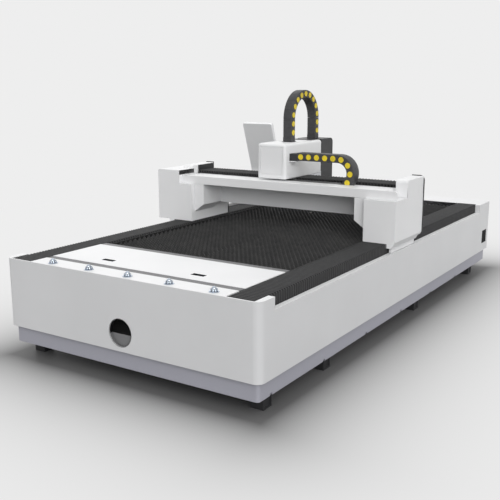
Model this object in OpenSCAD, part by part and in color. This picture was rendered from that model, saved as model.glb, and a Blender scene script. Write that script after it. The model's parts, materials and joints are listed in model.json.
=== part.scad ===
// Flat-bed gantry cutting machine: bed, travelling gantry, carriage, cutting head and operator console.
// Millimetres, +Z up. Drawn from the casing's front face, then set with its footprint box on the origin.

/* [Casing] */
// Width of the white casing
casing_w = 2300; // [2240:5:2360]
// Length of the white casing
casing_l = 4870; // [4780:5:5100]
// Height of the feet
foot_h = 112; // [80:1:160]
// Width of each square foot
foot_w = 103; // [80:1:120]
// Height of the grey plinth
plinth_h = 133; // [100:1:180]
// Distance of the plinth behind the casing
plinth_inset = 34; // [10:1:45]
// Height of the white casing
casing_h = 534; // [500:1:600]
// Sheet thickness of casing and plinth
sheet = 4; // [3:0.5:6]
// Radius of the casing's upright corners
corner_r = 60; // [50:1:90]
// How far the side walls lie below the casing's top
side_drop = 86; // [70:1:90]
// Length of the full-height corner at the front
post_l = 174; // [120:1:200]
// Length of the white deck at the rear
rear_deck = 365; // [340:5:400]

/* [Duct and vent] */
// Inner radius of the fume duct
duct_r = 100; // [75:1:120]
// Height of the duct's axis above the casing's lower edge
duct_up = 137; // [130:1:170]
// Depth of the duct's collar
duct_d = 25; // [15:1:60]
// Width and height of the side vent
vent_size = 138; // [80:1:180]

/* [Bed] */
// Depth of the front strip
strip_d = 168; // [160:1:200]
// Depth of each grey rest before and behind the cover
rest_d = 66; // [50:1:80]
// Depth of the lift-off cover
cover_d = 516; // [480:1:560]
// Width at each side of the bed for the gantry's ways
side_way = 266; // [255:1:290]
// Distance between cutting slats
slat_pitch = 92; // [70:1:140]
// Thickness of a slat
slat_t = 5; // [3:1:10]
// Height of a slat with its teeth
slat_h = 100; // [80:1:100]
// Height of the slat teeth
tooth_h = 24; // [10:1:40]
// Teeth on one slat
tooth_n = 12; // [6:1:14]
// Radius of a transfer ball
ball_r = 17; // [12:0.5:19]
// Distance between transfer balls
ball_pitch = 366; // [250:1:380]

/* [Side bellows] */
// Height of a side bellows
bellows_h = 90; // [86:1:96]
// Length of one pleat
pleat_l = 40; // [30:1:60]
// Depth of a pleat
pleat_d = 9; // [5:0.5:14]

/* [Gantry] */
// Distance of the gantry legs behind the casing's front
gantry_y = 2005; // [1700:5:2300]
// Depth of the legs
leg_d = 611; // [600:1:640]
// How far the legs stand outside the casing
leg_over = 29; // [20:1:40]
// Height of the legs above the casing
leg_h = 358; // [330:1:380]
// Underside of the beam above the casing
beam_up = 154; // [140:1:180]
// Depth of the beam
beam_d = 256; // [240:1:266]
// Wall of the beam
beam_t = 14; // [8:1:20]
// Height of the cable tray
tray_h = 77; // [74:1:80]
// Depth of the cable tray in front of the beam
tray_d = 298; // [290:1:303]
// Height of the end hoods
hood_h = 148; // [130:1:170]
// Width of the end hoods
hood_w = 109; // [100:1:115]
// Width of the cable box outside the left leg
cable_w = 119; // [100:1:130]

/* [Carriage] */
// Middle of the carriage, from the middle of the bed
carriage_x = -93; // [-300:1:100]
// Width of the carriage cover
carriage_w = 298; // [290:1:340]
// Height of the carriage cover
carriage_h = 318; // [300:1:360]
// Depth of the carriage cover
carriage_d = 696; // [680:1:720]
// Radius of the cover's edges
carriage_r = 26; // [10:1:30]
// Width of the dark lift unit
lift_w = 259; // [230:1:290]
// Depth of the dark lift unit
lift_d = 247; // [220:1:260]
// Gap between nozzle and slat tips
nozzle_gap = 26; // [24:1:60]

/* [Chains] */
// Pitch of the chain links
link_p = 80; // [76:1:84]
// Height of a link
link_h = 70; // [60:1:70]
// Thickness of a link's side plate
link_t = 14; // [8:1:18]
// Radius of the yellow pivot caps
cap_r = 25; // [15:1:28]
// Bend radius of the long chains at the pivots
bend_r = 127; // [122:1:127]
// Bend radius of the lift chain's arch at the pivots
arch_r = 230; // [220:1:240]

/* [Console] */
// Width of the console's panel
console_w = 410; // [350:1:450]
// Length of the tilted panel
panel_l = 620; // [560:1:660]
// Tilt of the panel from upright
panel_tilt = 19; // [10:1:25]
// Height of the console's desk
desk_z = 1010; // [900:1:1100]
// Space between the console and the casing
console_gap = 180; // [170:1:260]

/* [Hidden] */
$fn = 48;

eps = 1;
fit = 0.5;
half_w = casing_w / 2;
bed_half = half_w - side_way;
z_case = foot_h + plinth_h;
z_top = z_case + casing_h;
z_step = z_top - side_drop;
rear_y = casing_l - rear_deck;

// Bed frame
frame_w = 180;
frame_h = 189;
frame_in = bed_half + 28;
frame_z = z_top - bellows_h;
frame_wall = 10;
frame_end = 8;
post_w = 100;
foot_out = frame_in + frame_w - 21;
foot_rows = [165, casing_l * 0.2053, casing_l * 0.5764, casing_l - 434];
foot_pocket = 10;
foot_edge = 12;
plinth_flange = half_w - plinth_inset - foot_out + foot_w + 22;
notch_pitch = 728;
notch_w = 30;
notch_h = 16;
case_flange = plinth_inset + 20;
rear_post = 44;
seam = 0.4;
tray_lip = 30;
tray_front = 104;
cross_z = z_case - 65;
cross_h = 80;
bar_w = 40;
strip_t = 8;
cover_t = 6;
cover_y = strip_d + rest_d + 1;
cover_end = cover_y + cover_d;
rest_t = 30;
rest_sink = 2;
rest_lap = 10;
ledge_t = 10;
tip_z = z_top - 13;
slat_z = tip_z - slat_h;
slat_in = 12;
slat_out = bed_half - 22;
slat_start = cover_end + rest_d + 2;
slat_y = slat_start + 8;
slat_n = floor((rear_y - 25 - slat_y) / slat_pitch);
finger_l = 112;
finger_w = 44;
finger_x = 420;
finger_y = cover_y + 101;
ball_y = 62;
ball_x = -700;
cup_r = ball_r + 11;
cup_flange = cup_r + 8;
strip_y = ball_y + cup_r + 20;
flange_t = 6;
ball_z = z_top + 20;

// Ways for the gantry
side_flange = 50;
bellows_in = bed_half + 1;
bellows_out = half_w - side_flange - 1;
bellows_w = bellows_out - bellows_in;
front_rim = 12;
rail_x = bellows_in + 50;
rail_y0 = front_rim + 60;
rail_w = 30;
rail_h = 30;
block_h = 46;
block_w = 60;
rack_w = 25;
rack_h = 25;
pinion_teeth = 24;
pinion_module = 3;
pinion_r = pinion_module * pinion_teeth / 2;
pinion_x = rail_x + block_w / 2 + pinion_r + pinion_module + 6;
rack_x = pinion_x + pinion_r + pinion_module + fit;
shaft_r = 12;
drive_y = gantry_y + 200;

// Gantry
saddle_z = frame_z + 8 + block_h;
leg_z = z_top + 2;
leg_in = bed_half + 12;
leg_out = half_w + leg_over;
ledge_z = z_top + leg_h;
gantry_end = gantry_y + leg_d;
saddle_in = bellows_in + 15;
saddle_out = bellows_out + 11;
saddle_gap = 3;
skirt_drop = 36;
skirt_bend = 51;
skirt_in = 27;
band_w = 24;
band_z = z_step + 6;
tray_y = gantry_y + 45;
beam_y = tray_y + tray_d;
beam_z = z_top + beam_up;
beam_end = leg_out - hood_w - 6;
beam_top = ledge_z + 28;
tray_z = ledge_z + tray_h;
channel_d = 132;
channel_wall = 6;
tray_step = 12;
tray_front_t = 16;
hood_y = gantry_y + 245;
hood_r = 30;
box_in = leg_out - 139;
box_top = ledge_z + 125;
plate_t = 6;
plate_lip = 13;
plate_r = 45;
bracket_w = 110;
bracket_drop = leg_h * 0.54;
bracket_bevel = 77;

// Carriage
cover_z = tray_z + 12;
carriage_y = gantry_y + 147;
carriage_end = carriage_y + carriage_d;
carriage_top = cover_z + carriage_h;
xrail_z = beam_top + 26;
xblock_z = xrail_z - 18;
fold_y0 = beam_y + 4;
fold_y1 = beam_y + beam_d - 4;
fold_top = cover_z - 6;
fold_z = beam_top + 1;
fold_pleat = 24;
fold_d = 6;
panel_margin = 30;
panel_sink = 3;
foot_t = 4;
z_plate_t = 18;
lift_flange = 150;
lift_r = 45;
z_rail_w = 20;
z_rail_t = 8;
z_rail_x = 75;
lift_y = carriage_end + z_plate_t + 2;
lift_top = carriage_top + foot_t;
lift_z = z_top + 220;
head_y = lift_y + 57;
head_r = 50;
nozzle_z = tip_z + nozzle_gap;

// Chains
chain_w = 112;
chain_y = carriage_y + 66;
chain_z = tray_z + 218;
chain_low = chain_z - 2 * bend_r;
tray_floor = chain_low - link_h / 2 - fit;
chain_x = carriage_x + carriage_w / 2 + 79;
x_links = 5;
x_low_links = 7;
bend_x = chain_x + x_links * link_p;
y_chain_out = leg_out + cable_w - 8;
y_chain_z = z_top - 52;
y_chain_low = y_chain_z - 2 * bend_r;
y_links = 12;
y_low_links = 14;
y_chain_start = gantry_end + plate_t;
y_bend = y_chain_start + y_links * link_p;
arch_w = 88;
arch_x = carriage_x + 24;
arch_y = carriage_y + 277;
arch_z = carriage_top + 205;
lid_t = 6;
joint_w = 3;
joint_d = 4;
cap_t = 3;

// Console
console_in = half_w + console_gap;
console_x = -console_in - console_w / 2;
panel_y = rear_y - 136;
panel_t = 46;
desk_t = 26;
desk_d = 270;
post_s = 120;
button_y = panel_y + 215;
stop_x = console_w * 0.34;
start_x = -console_w * 0.34;
stop_r = 22;
start_r = 14;
stem_part = 0.6;
stem_l = 18;

// Whole part
left_reach = console_in + console_w;
right_reach = leg_out + plate_lip;
shift_x = (left_reach - right_reach) / 2;

white = [0.93, 0.93, 0.94];
grey = [0.62, 0.62, 0.66];
black = [0.09, 0.09, 0.10];
dark = [0.20, 0.20, 0.21];
steel = [0.62, 0.63, 0.65];
chrome = [0.80, 0.81, 0.83];

// A block between two corners
module block(x0, x1, y0, y1, z0, z1) {
    translate([x0, y0, z0]) cube([x1 - x0, y1 - y0, z1 - z0]);
}

// A block with round upright edges
module round_block(x0, x1, y0, y1, z0, z1, r) {
    block(x0 + r, x1 - r, y0, y1, z0, z1);
    block(x0, x1, y0 + r, y1 - r, z0, z1);
    for (x = [x0 + r, x1 - r], y = [y0 + r, y1 - r])
        translate([x, y, z0]) cylinder(r = r, h = z1 - z0);
}

// The same shape on the right and on the left
module both_sides() {
    children();
    mirror([1, 0, 0]) children();
}

// An outline in X and Z, drawn out along Y
module along_y(y0, y1) {
    translate([0, y1, 0]) rotate([90, 0, 0]) linear_extrude(y1 - y0) children();
}

// An outline in Y and Z, drawn out along X
module along_x(x0, x1) {
    translate([x0, 0, 0]) rotate([90, 0, 90]) linear_extrude(x1 - x0) children();
}

// Folded cover along Y, open below, with pleats on its top and both sides
module bellows(w, l, h, pleat, fold, wall) {
    n = max(2, round(l / pleat));
    step = l / (2 * n);
    function inset(i) = (i % 2 == 0) ? 0 : fold;
    difference() {
        intersection() {
            along_x(0, w)
                polygon(concat([[0, 0]], [for (i = [0:2 * n]) [i * step, h - inset(i)]], [[l, 0]]));
            linear_extrude(h)
                polygon(concat([for (i = [0:2 * n]) [w - inset(i), i * step]],
                    [for (i = [2 * n:-1:0]) [inset(i), i * step]]));
        }
        block(fold + wall, w - fold - wall, -eps, l + eps, -eps, h - fold - wall);
    }
}

// Straight stretch of closed chain along X: a tube with joints between its links and pivot caps
module chain_run(links, w) {
    difference() {
        block(0, links * link_p, 0, w, -link_h / 2, link_h / 2);
        block(-eps, links * link_p + eps, link_t, w - link_t, -link_h / 2 + lid_t, link_h / 2 - lid_t);
        for (i = [1:links - 1], z = [-link_h / 2, link_h / 2])
            translate([i * link_p, w / 2, z]) cube([joint_w, w + eps, 2 * joint_d], center = true);
    }
    for (i = [0:links - 1], y = [-cap_t, w - eps])
        translate([(i + 0.5) * link_p, y, 0]) rotate([-90, 0, 0]) cylinder(r = cap_r, h = cap_t + eps);
}

// Half circle of closed chain in X and Z on its bend's centre
module chain_arc(r, w) {
    n = round(PI * r / link_p);
    turn = 180 / n;
    outer = r + link_h / 2;
    inner = r - link_h / 2;
    difference() {
        ring(outer, inner, 0, w);
        ring(outer - lid_t, inner + lid_t, link_t, w - link_t);
        block(-outer - eps, 0, -eps, w + eps, -outer - eps, outer + eps);
        for (i = [1:n - 1], x = [inner, outer]) rotate([0, i * turn - 90, 0])
            translate([x, w / 2, 0]) cube([2 * joint_d, w + eps, joint_w], center = true);
    }
    for (i = [0:n - 1], y = [-cap_t, w - eps]) rotate([0, (i + 0.5) * turn - 90, 0])
        translate([r, y, 0]) rotate([-90, 0, 0]) cylinder(r = cap_r, h = cap_t + eps);
}

// Flat ring on the Y axis
module ring(outer, inner, y0, y1) {
    translate([0, y0, 0]) rotate([-90, 0, 0]) difference() {
        cylinder(r = outer, h = y1 - y0);
        translate([0, 0, -eps]) cylinder(r = inner, h = y1 - y0 + 2 * eps);
    }
}

module bed_frame() {
    color(grey) {
        both_sides() {
            difference() {
                block(frame_in, frame_in + frame_w, frame_end, casing_l - frame_end,
                    frame_z - frame_h, frame_z);
                block(frame_in + frame_wall, frame_in + frame_w - frame_wall, 0, casing_l,
                    frame_z - frame_h + frame_wall, frame_z - frame_wall);
            }
            for (y = foot_rows)
                block(foot_out - post_w, foot_out, y, y + post_w, foot_h + sheet, frame_z - frame_h);
        }
        for (y = foot_rows)
            block(-foot_out + post_w, foot_out - post_w, y, y + cross_h, cross_z, cross_z + cross_h);
        rests();
        for (bar = [[strip_y, strip_t], [cover_y + 5, cover_t], [cover_end - bar_w - 5, cover_t]]) {
            block(-frame_in, frame_in, bar[0], bar[0] + bar_w, frame_z - cross_h, frame_z);
            block(-bed_half, bed_half, bar[0], bar[0] + bar_w, frame_z, z_top - bar[1]);
        }
    }
}

// Flat rests before and behind the cover, lapped under its edges
module rests() {
    for (rest = [[strip_d + 1, cover_y - 1, 0, rest_lap], [cover_end + 1, cover_end + rest_d, rest_lap, 0]]) {
        block(-bed_half, bed_half, rest[0], rest[1], z_top - cover_t, z_top - rest_sink);
        block(-bed_half, bed_half, rest[0] - rest[2], rest[1] + rest[3], z_top - cover_t - rest_t,
            z_top - cover_t);
    }
}

// Square feet with a pocket in their inner and outer sides
module feet() {
    color(black) both_sides() for (y = foot_rows) difference() {
        block(foot_out - foot_w, foot_out, y, y + foot_w, 0, foot_h);
        for (x = [foot_out - foot_w - eps, foot_out - foot_pocket])
            block(x, x + foot_pocket + eps, y + foot_edge, y + foot_w - foot_edge,
                foot_edge, foot_h - foot_edge);
    }
}

module plinth() {
    x = half_w - plinth_inset;
    y1 = casing_l - plinth_inset;
    r = corner_r - plinth_inset;
    color(grey) difference() {
        round_block(-x, x, plinth_inset, y1, foot_h, z_case, r);
        round_block(-x + sheet, x - sheet, plinth_inset + sheet, y1 - sheet, foot_h + sheet, z_case + eps,
            r - sheet);
        block(-x + plinth_flange, x - plinth_flange, plinth_inset + plinth_flange, y1 - plinth_flange,
            foot_h - eps, z_case);
        for (i = [0:5]) both_sides()
            block(x - 2 * sheet, x + eps, post_l + i * notch_pitch, post_l + i * notch_pitch + notch_w,
                foot_h - eps, foot_h + notch_h);
    }
}

// Joints between the front panel, the corner posts, the side panels and the rear deck
module casing_seams() {
    for (y = [post_l, rear_y - rear_post])
        block(-half_w - eps, half_w + eps, y, y + seam, z_case - eps, z_top + eps);
    both_sides()
        block(half_w - corner_r - 30, half_w - corner_r - 30 + seam, -eps, post_l, z_case - eps, z_top + eps);
}

// Sheet shell with a round duct opening in front and a vent in its right side
module casing() {
    inner = half_w - sheet;
    color(white) {
        difference() {
            round_block(-half_w, half_w, 0, casing_l, z_case, z_top, corner_r);
            round_block(-inner, inner, sheet, casing_l - sheet, z_case + sheet, z_top - sheet,
                corner_r - sheet);
            block(-half_w + case_flange, half_w - case_flange, case_flange, casing_l - case_flange,
                z_case - eps, z_case + 2 * sheet);
            block(-half_w + side_flange, half_w - side_flange, front_rim, rear_y, z_top - 2 * sheet,
                z_top + eps);
            block(-bed_half, bed_half, sheet, front_rim + eps, z_top - 2 * sheet, z_top + eps);
            both_sides()
                block(half_w - side_flange - eps, half_w + eps, post_l, rear_y - rear_post,
                    z_step, z_top + eps);
            casing_seams();
            translate([0, -eps, z_case + duct_up]) rotate([-90, 0, 0])
                cylinder(r = duct_r + sheet, h = 3 * sheet);
            block(inner - eps, half_w + eps, rear_y + 107, rear_y + 107 + vent_size - 10,
                z_case + 95, z_case + 85 + vent_size);
        }
        both_sides()
            block(half_w - side_flange, inner, post_l + seam, rear_y - rear_post, z_step - sheet, z_step);
    }
}

module duct_collar() {
    color(dark) translate([0, 0, z_case + duct_up]) rotate([-90, 0, 0]) difference() {
        cylinder(r = duct_r + sheet, h = duct_d);
        translate([0, 0, -eps]) cylinder(r = duct_r, h = duct_d + 2 * eps);
    }
}

// Black louvre set in the right side wall
module vent_grille() {
    y0 = rear_y + 102;
    z0 = z_case + 90;
    bars = 6;
    gap = (vent_size - 24) / bars;
    color(black) difference() {
        union() {
            block(half_w, half_w + 4, y0, y0 + vent_size, z0, z0 + vent_size);
            block(half_w - 8, half_w, y0 + 5, y0 + vent_size - 5, z0 + 5, z0 + vent_size - 5);
        }
        for (i = [0:bars - 1])
            translate([half_w, y0 + vent_size / 2, z0 + 12 + (i + 0.5) * gap]) rotate([0, 30, 0])
                cube([40, vent_size - 24, gap * 0.4], center = true);
    }
}

module front_strip() {
    color(white) difference() {
        union() {
            block(-bed_half, bed_half, sheet, strip_d, z_top - strip_t, z_top);
            block(-bed_half, bed_half, strip_d - sheet, strip_d, z_top - 60, z_top);
        }
        for (i = [0:4])
            translate([ball_x + i * ball_pitch, ball_y, z_top - 2 * strip_t])
                cylinder(r = cup_r + fit, h = 3 * strip_t);
    }
}

// Lift-off cover with two finger slots
module cover_panel() {
    color(white) difference() {
        block(-bed_half, bed_half, cover_y, cover_end, z_top - cover_t, z_top);
        for (x = [-finger_x, finger_x])
            block(x - finger_l / 2, x + finger_l / 2, finger_y, finger_y + finger_w,
                z_top - 2 * cover_t, z_top + eps);
    }
}

// Flanged cups of the ball transfer units
module ball_cups() {
    color(chrome) for (i = [0:4])
        translate([ball_x + i * ball_pitch, ball_y, 0]) difference() {
            union() {
                translate([0, 0, z_top - 34]) cylinder(r = cup_r, h = 34);
                translate([0, 0, z_top]) cylinder(r = cup_flange, h = flange_t);
                translate([0, 0, z_top + flange_t])
                    cylinder(r1 = cup_r, r2 = ball_r + 2, h = ball_z - z_top - flange_t + 4);
            }
            translate([0, 0, ball_z]) sphere(r = ball_r + fit);
            translate([0, 0, ball_z]) cylinder(r = ball_r + fit, h = 20);
        }
}

module transfer_ball(i) {
    color(chrome) translate([ball_x + i * ball_pitch, ball_y, ball_z]) sphere(r = ball_r);
}

// Saw-toothed slats in two rows
module slats() {
    l = slat_out - slat_in;
    pitch = l / tooth_n;
    root = slat_h - tooth_h;
    color(dark) both_sides() for (i = [0:slat_n])
        translate([slat_in, 0, slat_z]) along_y(slat_y + i * slat_pitch, slat_y + i * slat_pitch + slat_t)
            polygon(concat([[0, 0], [0, root]],
                [for (k = [0:tooth_n - 1], s = [0, 1]) [(k + 0.5 + 0.5 * s) * pitch, s ? root : slat_h]],
                [[l, 0]]));
}

// Ledges that carry the slats, with the divider in the middle
module slat_frame() {
    z0 = slat_z - ledge_t;
    y1 = rear_y - 5;
    color(dark) {
        both_sides() {
            block(slat_out - 20, frame_in, slat_start, y1, z0, slat_z);
            block(slat_out + 3, slat_out + 9, slat_start, y1, z0, tip_z);
        }
        for (y = [slat_start, y1 - 20])
            block(-frame_in, frame_in, y, y + 20, z0, slat_z);
        block(-bar_w, bar_w, slat_start, y1, z0, slat_z);
        block(-6, 6, slat_start, y1, z0, tip_z - tooth_h);
    }
}

// Tray under the slats that catches slag, with a front plate half across the duct
module slag_tray() {
    x = bed_half - 40;
    y0 = duct_d + 8;
    y1 = casing_l - 140;
    z0 = cross_z + cross_h;
    color(grey) {
        block(-x, x, y0, y1, z0, z0 + sheet);
        both_sides() block(x - sheet, x, y0, y1, z0, z0 + tray_lip);
        block(-x, x, y1 - sheet, y1, z0, z0 + tray_lip);
        block(-x, x, y0 - seam - sheet, y0 - seam, z0, z0 + tray_front);
    }
}

module y_rails() {
    w = rail_w / 2;
    color(steel) both_sides() translate([rail_x, 0, frame_z]) along_y(rail_y0, rear_y - 20)
        polygon([[-w, 0], [w, 0], [w, 10], [w - 5, 15], [w - 5, 20], [w, 24], [w, rail_h],
            [-w, rail_h], [-w, 24], [-w + 5, 20], [-w + 5, 15], [-w, 10]]);
}

module y_racks() {
    color(steel) both_sides()
        block(rack_x, rack_x + rack_w, rail_y0, rear_y - 20, frame_z, frame_z + rack_h);
}

module front_bellows() {
    color(black) both_sides() translate([bellows_in, front_rim, frame_z])
        bellows(bellows_w, gantry_y + saddle_gap - front_rim, bellows_h, pleat_l, pleat_d, 5);
}

module rear_bellows() {
    y0 = gantry_end - saddle_gap;
    color(black) both_sides() translate([bellows_in, y0, frame_z])
        bellows(bellows_w, rear_y - y0, bellows_h, pleat_l, pleat_d, 5);
}

// Shelf on the left wall under the long chain
module y_chain_tray() {
    z0 = y_chain_low - link_h / 2 - fit;
    y0 = y_bend - y_low_links * link_p - 60;
    out = y_chain_out + 10;
    color(grey) {
        block(-out, -half_w, y0, rear_y + 60, z0 - sheet, z0);
        block(-out - sheet, -out, y0, rear_y + 60, z0 - sheet, z0 + 40);
        block(-half_w - sheet, -half_w, y0, rear_y + 60, z0 - 60, z0);
    }
}

// Places a chain that runs along Y on the left, with X as its own length
module on_left(y, z) {
    translate([-y_chain_out + chain_w, y, z]) rotate([0, 0, 90]) children();
}

module y_chain_lower() {
    color(dark) on_left(y_bend - y_low_links * link_p, y_chain_low) chain_run(y_low_links, chain_w);
}

module y_chain_upper() {
    color(dark) on_left(y_chain_start, y_chain_z) chain_run(y_links, chain_w);
}

module y_chain_bend() {
    color(dark) on_left(y_bend, y_chain_z - bend_r) chain_arc(bend_r, chain_w);
}

// Floor column with its base plate and the bracket to the casing
module console_post() {
    y0 = panel_y + 20;
    color(white) {
        round_block(console_x - 160, console_x + 160, y0 - 80, y0 + 200, 0, 14, 20);
        block(console_x - post_s / 2, console_x + post_s / 2, y0, y0 + post_s, 14, desk_z - desk_t);
        block(console_x + post_s / 2, -half_w, y0 + 30, y0 + 90, z_case + 60, z_case + 120);
    }
}

module console_desk() {
    color(white) difference() {
        round_block(console_x - console_w / 2, console_x + console_w / 2, panel_y - 15, panel_y + desk_d,
            desk_z - desk_t, desk_z, 18);
        for (b = [[stop_x, stop_r], [start_x, start_r]])
            translate([console_x + b[0], button_y, desk_z - desk_t - eps])
                cylinder(r = b[1] * stem_part + fit, h = desk_t + 2 * eps);
    }
}

// The panel leans over the bed side: its face looks back and up
module panel_place() {
    translate([console_x, panel_y, desk_z]) rotate([panel_tilt, 0, 0]) children();
}

module console_housing() {
    w = console_w / 2;
    color(grey) difference() {
        panel_place() difference() {
            union() {
                block(-w, w, 0, panel_t, -40, panel_l - 20);
                block(-w + 20, w - 20, 0, panel_t, panel_l - 20, panel_l);
                for (x = [-w + 20, w - 20])
                    translate([x, panel_t, panel_l - 20]) rotate([90, 0, 0]) cylinder(r = 20, h = panel_t);
            }
            block(-w + 28, w - 28, panel_t - 8, panel_t + eps, 130, panel_l - 30);
        }
        block(console_x - console_w, console_x + console_w, panel_y - panel_l, panel_y + panel_l,
            desk_z - panel_l, desk_z);
    }
}

module console_screen() {
    w = console_w / 2 - 28;
    color(black) panel_place() block(-w, w, panel_t - 8, panel_t - 3, 130, panel_l - 30);
}

// Round cap on a stem that slides in the desk
module push_button(x, r, h, tint) {
    color(tint) translate([console_x + x, button_y, desk_z]) {
        translate([0, 0, -stem_l]) cylinder(r = r * stem_part, h = h + stem_l);
        translate([0, 0, h]) cylinder(r = r, h = h * 0.6);
    }
}

module e_stop() {
    push_button(stop_x, stop_r, 18, "red");
}

module start_button() {
    push_button(start_x, start_r, 14, "green");
}

// Leg housing with a skirt that hangs outside the bellows
module leg_shell() {
    difference() {
        union() {
            along_y(gantry_y, gantry_end)
                polygon([[leg_in, leg_z], [saddle_out, leg_z], [saddle_out, leg_z - skirt_drop],
                    [leg_out - skirt_in, leg_z - skirt_drop], [leg_out, leg_z - skirt_drop + skirt_bend],
                    [leg_out, ledge_z], [leg_in, ledge_z]]);
            block(saddle_out, saddle_out + band_w, gantry_y + 56, gantry_end - 56,
                band_z, leg_z - skirt_drop);
        }
        block(leg_in + sheet, leg_out - skirt_in - sheet, gantry_y + sheet, gantry_end - sheet,
            leg_z - eps, ledge_z - sheet);
        block(leg_out - 2 * skirt_in - 1, leg_out + eps, gantry_end - 56, gantry_end + eps,
            leg_z - skirt_drop - eps, leg_z - 6);
        beam_space();
    }
}

// Room for the beam's ends in the legs
module beam_space() {
    block(-beam_end, beam_end, beam_y, beam_y + beam_d, beam_z, beam_top);
}

module leg_right() {
    color(white) leg_shell();
}

module leg_left() {
    color(white) mirror([1, 0, 0]) leg_shell();
}

// Plates that carry the legs on the bearing blocks
module saddles() {
    color(grey) both_sides() difference() {
        block(saddle_in, saddle_out, gantry_y + saddle_gap, gantry_end - saddle_gap, saddle_z, leg_z);
        translate([pinion_x, drive_y, saddle_z - eps]) cylinder(r = shaft_r + 2, h = 100);
    }
}

module bearing_blocks() {
    l = 110;
    color(steel) both_sides() for (y = [gantry_y + 30, gantry_end - 30 - l]) difference() {
        block(rail_x - block_w / 2, rail_x + block_w / 2, y, y + l, frame_z + 8, saddle_z);
        block(rail_x - rail_w / 2 - fit, rail_x + rail_w / 2 + fit, y - eps, y + l + eps,
            frame_z, frame_z + rail_h);
    }
}

// Toothed outline of a pinion
module gear_outline() {
    tip = pinion_r + pinion_module;
    root = pinion_r - 1.25 * pinion_module;
    pitch = 360 / pinion_teeth;
    polygon([for (i = [0:pinion_teeth - 1], s = [[-0.3, root], [-0.13, tip], [0.13, tip], [0.3, root]])
        s[1] * [cos((i + s[0]) * pitch), sin((i + s[0]) * pitch)]]);
}

module pinion(side) {
    color(steel) translate([side * pinion_x, drive_y, 0]) {
        translate([0, 0, frame_z + 3]) linear_extrude(rack_h - 6) gear_outline();
        translate([0, 0, frame_z + rack_h - 3]) cylinder(r = shaft_r, h = leg_z - frame_z - rack_h + 3);
    }
}

// Servo motors that stand on the saddles inside the legs
module y_motors() {
    color(black) both_sides() translate([pinion_x, drive_y, leg_z]) {
        block(-50, 50, -50, 50, 0, 20);
        translate([0, 0, 20]) cylinder(r = 45, h = 70);
        translate([0, 0, 90]) block(-40, 40, -40, 40, 0, 150);
    }
}

// Cable box outside the left leg, with its block over the leg's ledge
module cable_box() {
    out = leg_out + cable_w;
    r = 25;
    color(white) {
        along_y(gantry_y, gantry_end) union() {
            polygon([[-out, leg_z], [-leg_out, leg_z], [-leg_out, box_top], [-out + r, box_top],
                [-out, box_top - r]]);
            translate([-out + r, box_top - r]) circle(r = r);
        }
        block(-leg_out, -box_in, gantry_y, hood_y, ledge_z, box_top);
    }
}

// Hoods over the beam's ends
module beam_hoods() {
    color(white) both_sides() {
        block(leg_out - hood_w, leg_out, hood_y, gantry_end, ledge_z, ledge_z + hood_h - hood_r);
        block(leg_out - hood_w, leg_out, hood_y + hood_r, gantry_end, ledge_z, ledge_z + hood_h);
        translate([leg_out - hood_w, hood_y + hood_r, ledge_z + hood_h - hood_r]) rotate([0, 90, 0])
            cylinder(r = hood_r, h = hood_w);
    }
}

// Black plates that close the legs and hoods at the back
module rear_plates() {
    top = ledge_z + hood_h + plate_lip;
    out = leg_out + plate_lip;
    color(black) {
        both_sides() along_y(gantry_end, gantry_end + plate_t) union() {
            polygon([[leg_in - 6, leg_z], [out, leg_z], [out, top - plate_r], [out - plate_r, top],
                [leg_out - hood_w, top], [leg_out - hood_w, ledge_z], [leg_in - 6, ledge_z]]);
            translate([out - plate_r, top - plate_r]) circle(r = plate_r);
        }
        block(-leg_out - cable_w, -out, gantry_end, gantry_end + plate_t, leg_z - 66, box_top);
        block(-out, -half_w - 36, gantry_end, gantry_end + plate_t, leg_z - 66, leg_z);
    }
}

// Bevelled housings between the legs and the beam
module beam_brackets() {
    color(white) both_sides() along_y(tray_y + 2, beam_y)
        polygon([[leg_in, ledge_z - bracket_drop - bracket_bevel], [leg_in, ledge_z],
            [leg_in - bracket_w, ledge_z], [leg_in - bracket_w, ledge_z - bracket_drop]]);
}

module beam() {
    color(grey) difference() {
        beam_space();
        block(-beam_end - eps, beam_end + eps, beam_y + beam_t, beam_y + beam_d - beam_t,
            beam_z + beam_t, beam_top - beam_t);
    }
}

// White tray before the beam, lower at the back, with a channel for the chain and a front of full width
module beam_tray() {
    r = 27;
    x0 = -box_in;
    x1 = leg_out - 9;
    y1 = beam_y - channel_d - channel_wall;
    color(white) difference() {
        union() {
            block(x0, beam_end, y1, beam_y, ledge_z, tray_z - tray_step);
            block(x0, beam_end, tray_y, y1, ledge_z, tray_z);
            along_y(tray_y, tray_y + tray_front_t) union() {
                polygon([[x0, ledge_z], [x1, ledge_z], [x1, tray_z - r], [x1 - r, tray_z], [x0, tray_z]]);
                translate([x1 - r, tray_z - r]) circle(r = r);
            }
        }
        block(bend_x - x_low_links * link_p - 70, beam_end + eps, y1, beam_y - channel_wall,
            tray_floor, tray_z + eps);
    }
}

module x_rails() {
    color(steel) for (y = [fold_y0 + 36, fold_y1 - 36])
        block(-beam_end + 20, beam_end - 20, y - 12, y + 12, beam_top, xrail_z);
}

module x_rack() {
    y = (fold_y0 + fold_y1) / 2;
    color(steel) block(-beam_end + 20, beam_end - 20, y - 12, y + 12, beam_top, beam_top + 22);
}

// Folded cover on the beam, with the black plate at its outer end
module beam_fold(x0, x1, end_x) {
    color(black) {
        translate([x0, fold_y1, fold_z]) rotate([0, 0, -90])
            bellows(fold_y1 - fold_y0, x1 - x0, fold_top - fold_z, fold_pleat, fold_d, 4);
        difference() {
            block(end_x, end_x + 6, fold_y0, gantry_end - 4, fold_z, ledge_z + hood_h - 4);
            block(end_x - eps, end_x + 7, fold_y0 + fold_d + 4, fold_y1 - fold_d - 4,
                fold_z - eps, fold_top - fold_d - 4);
        }
    }
}

module beam_bellows_left() {
    beam_fold(-beam_end, carriage_x - carriage_w / 2, -beam_end - 6);
}

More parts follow.
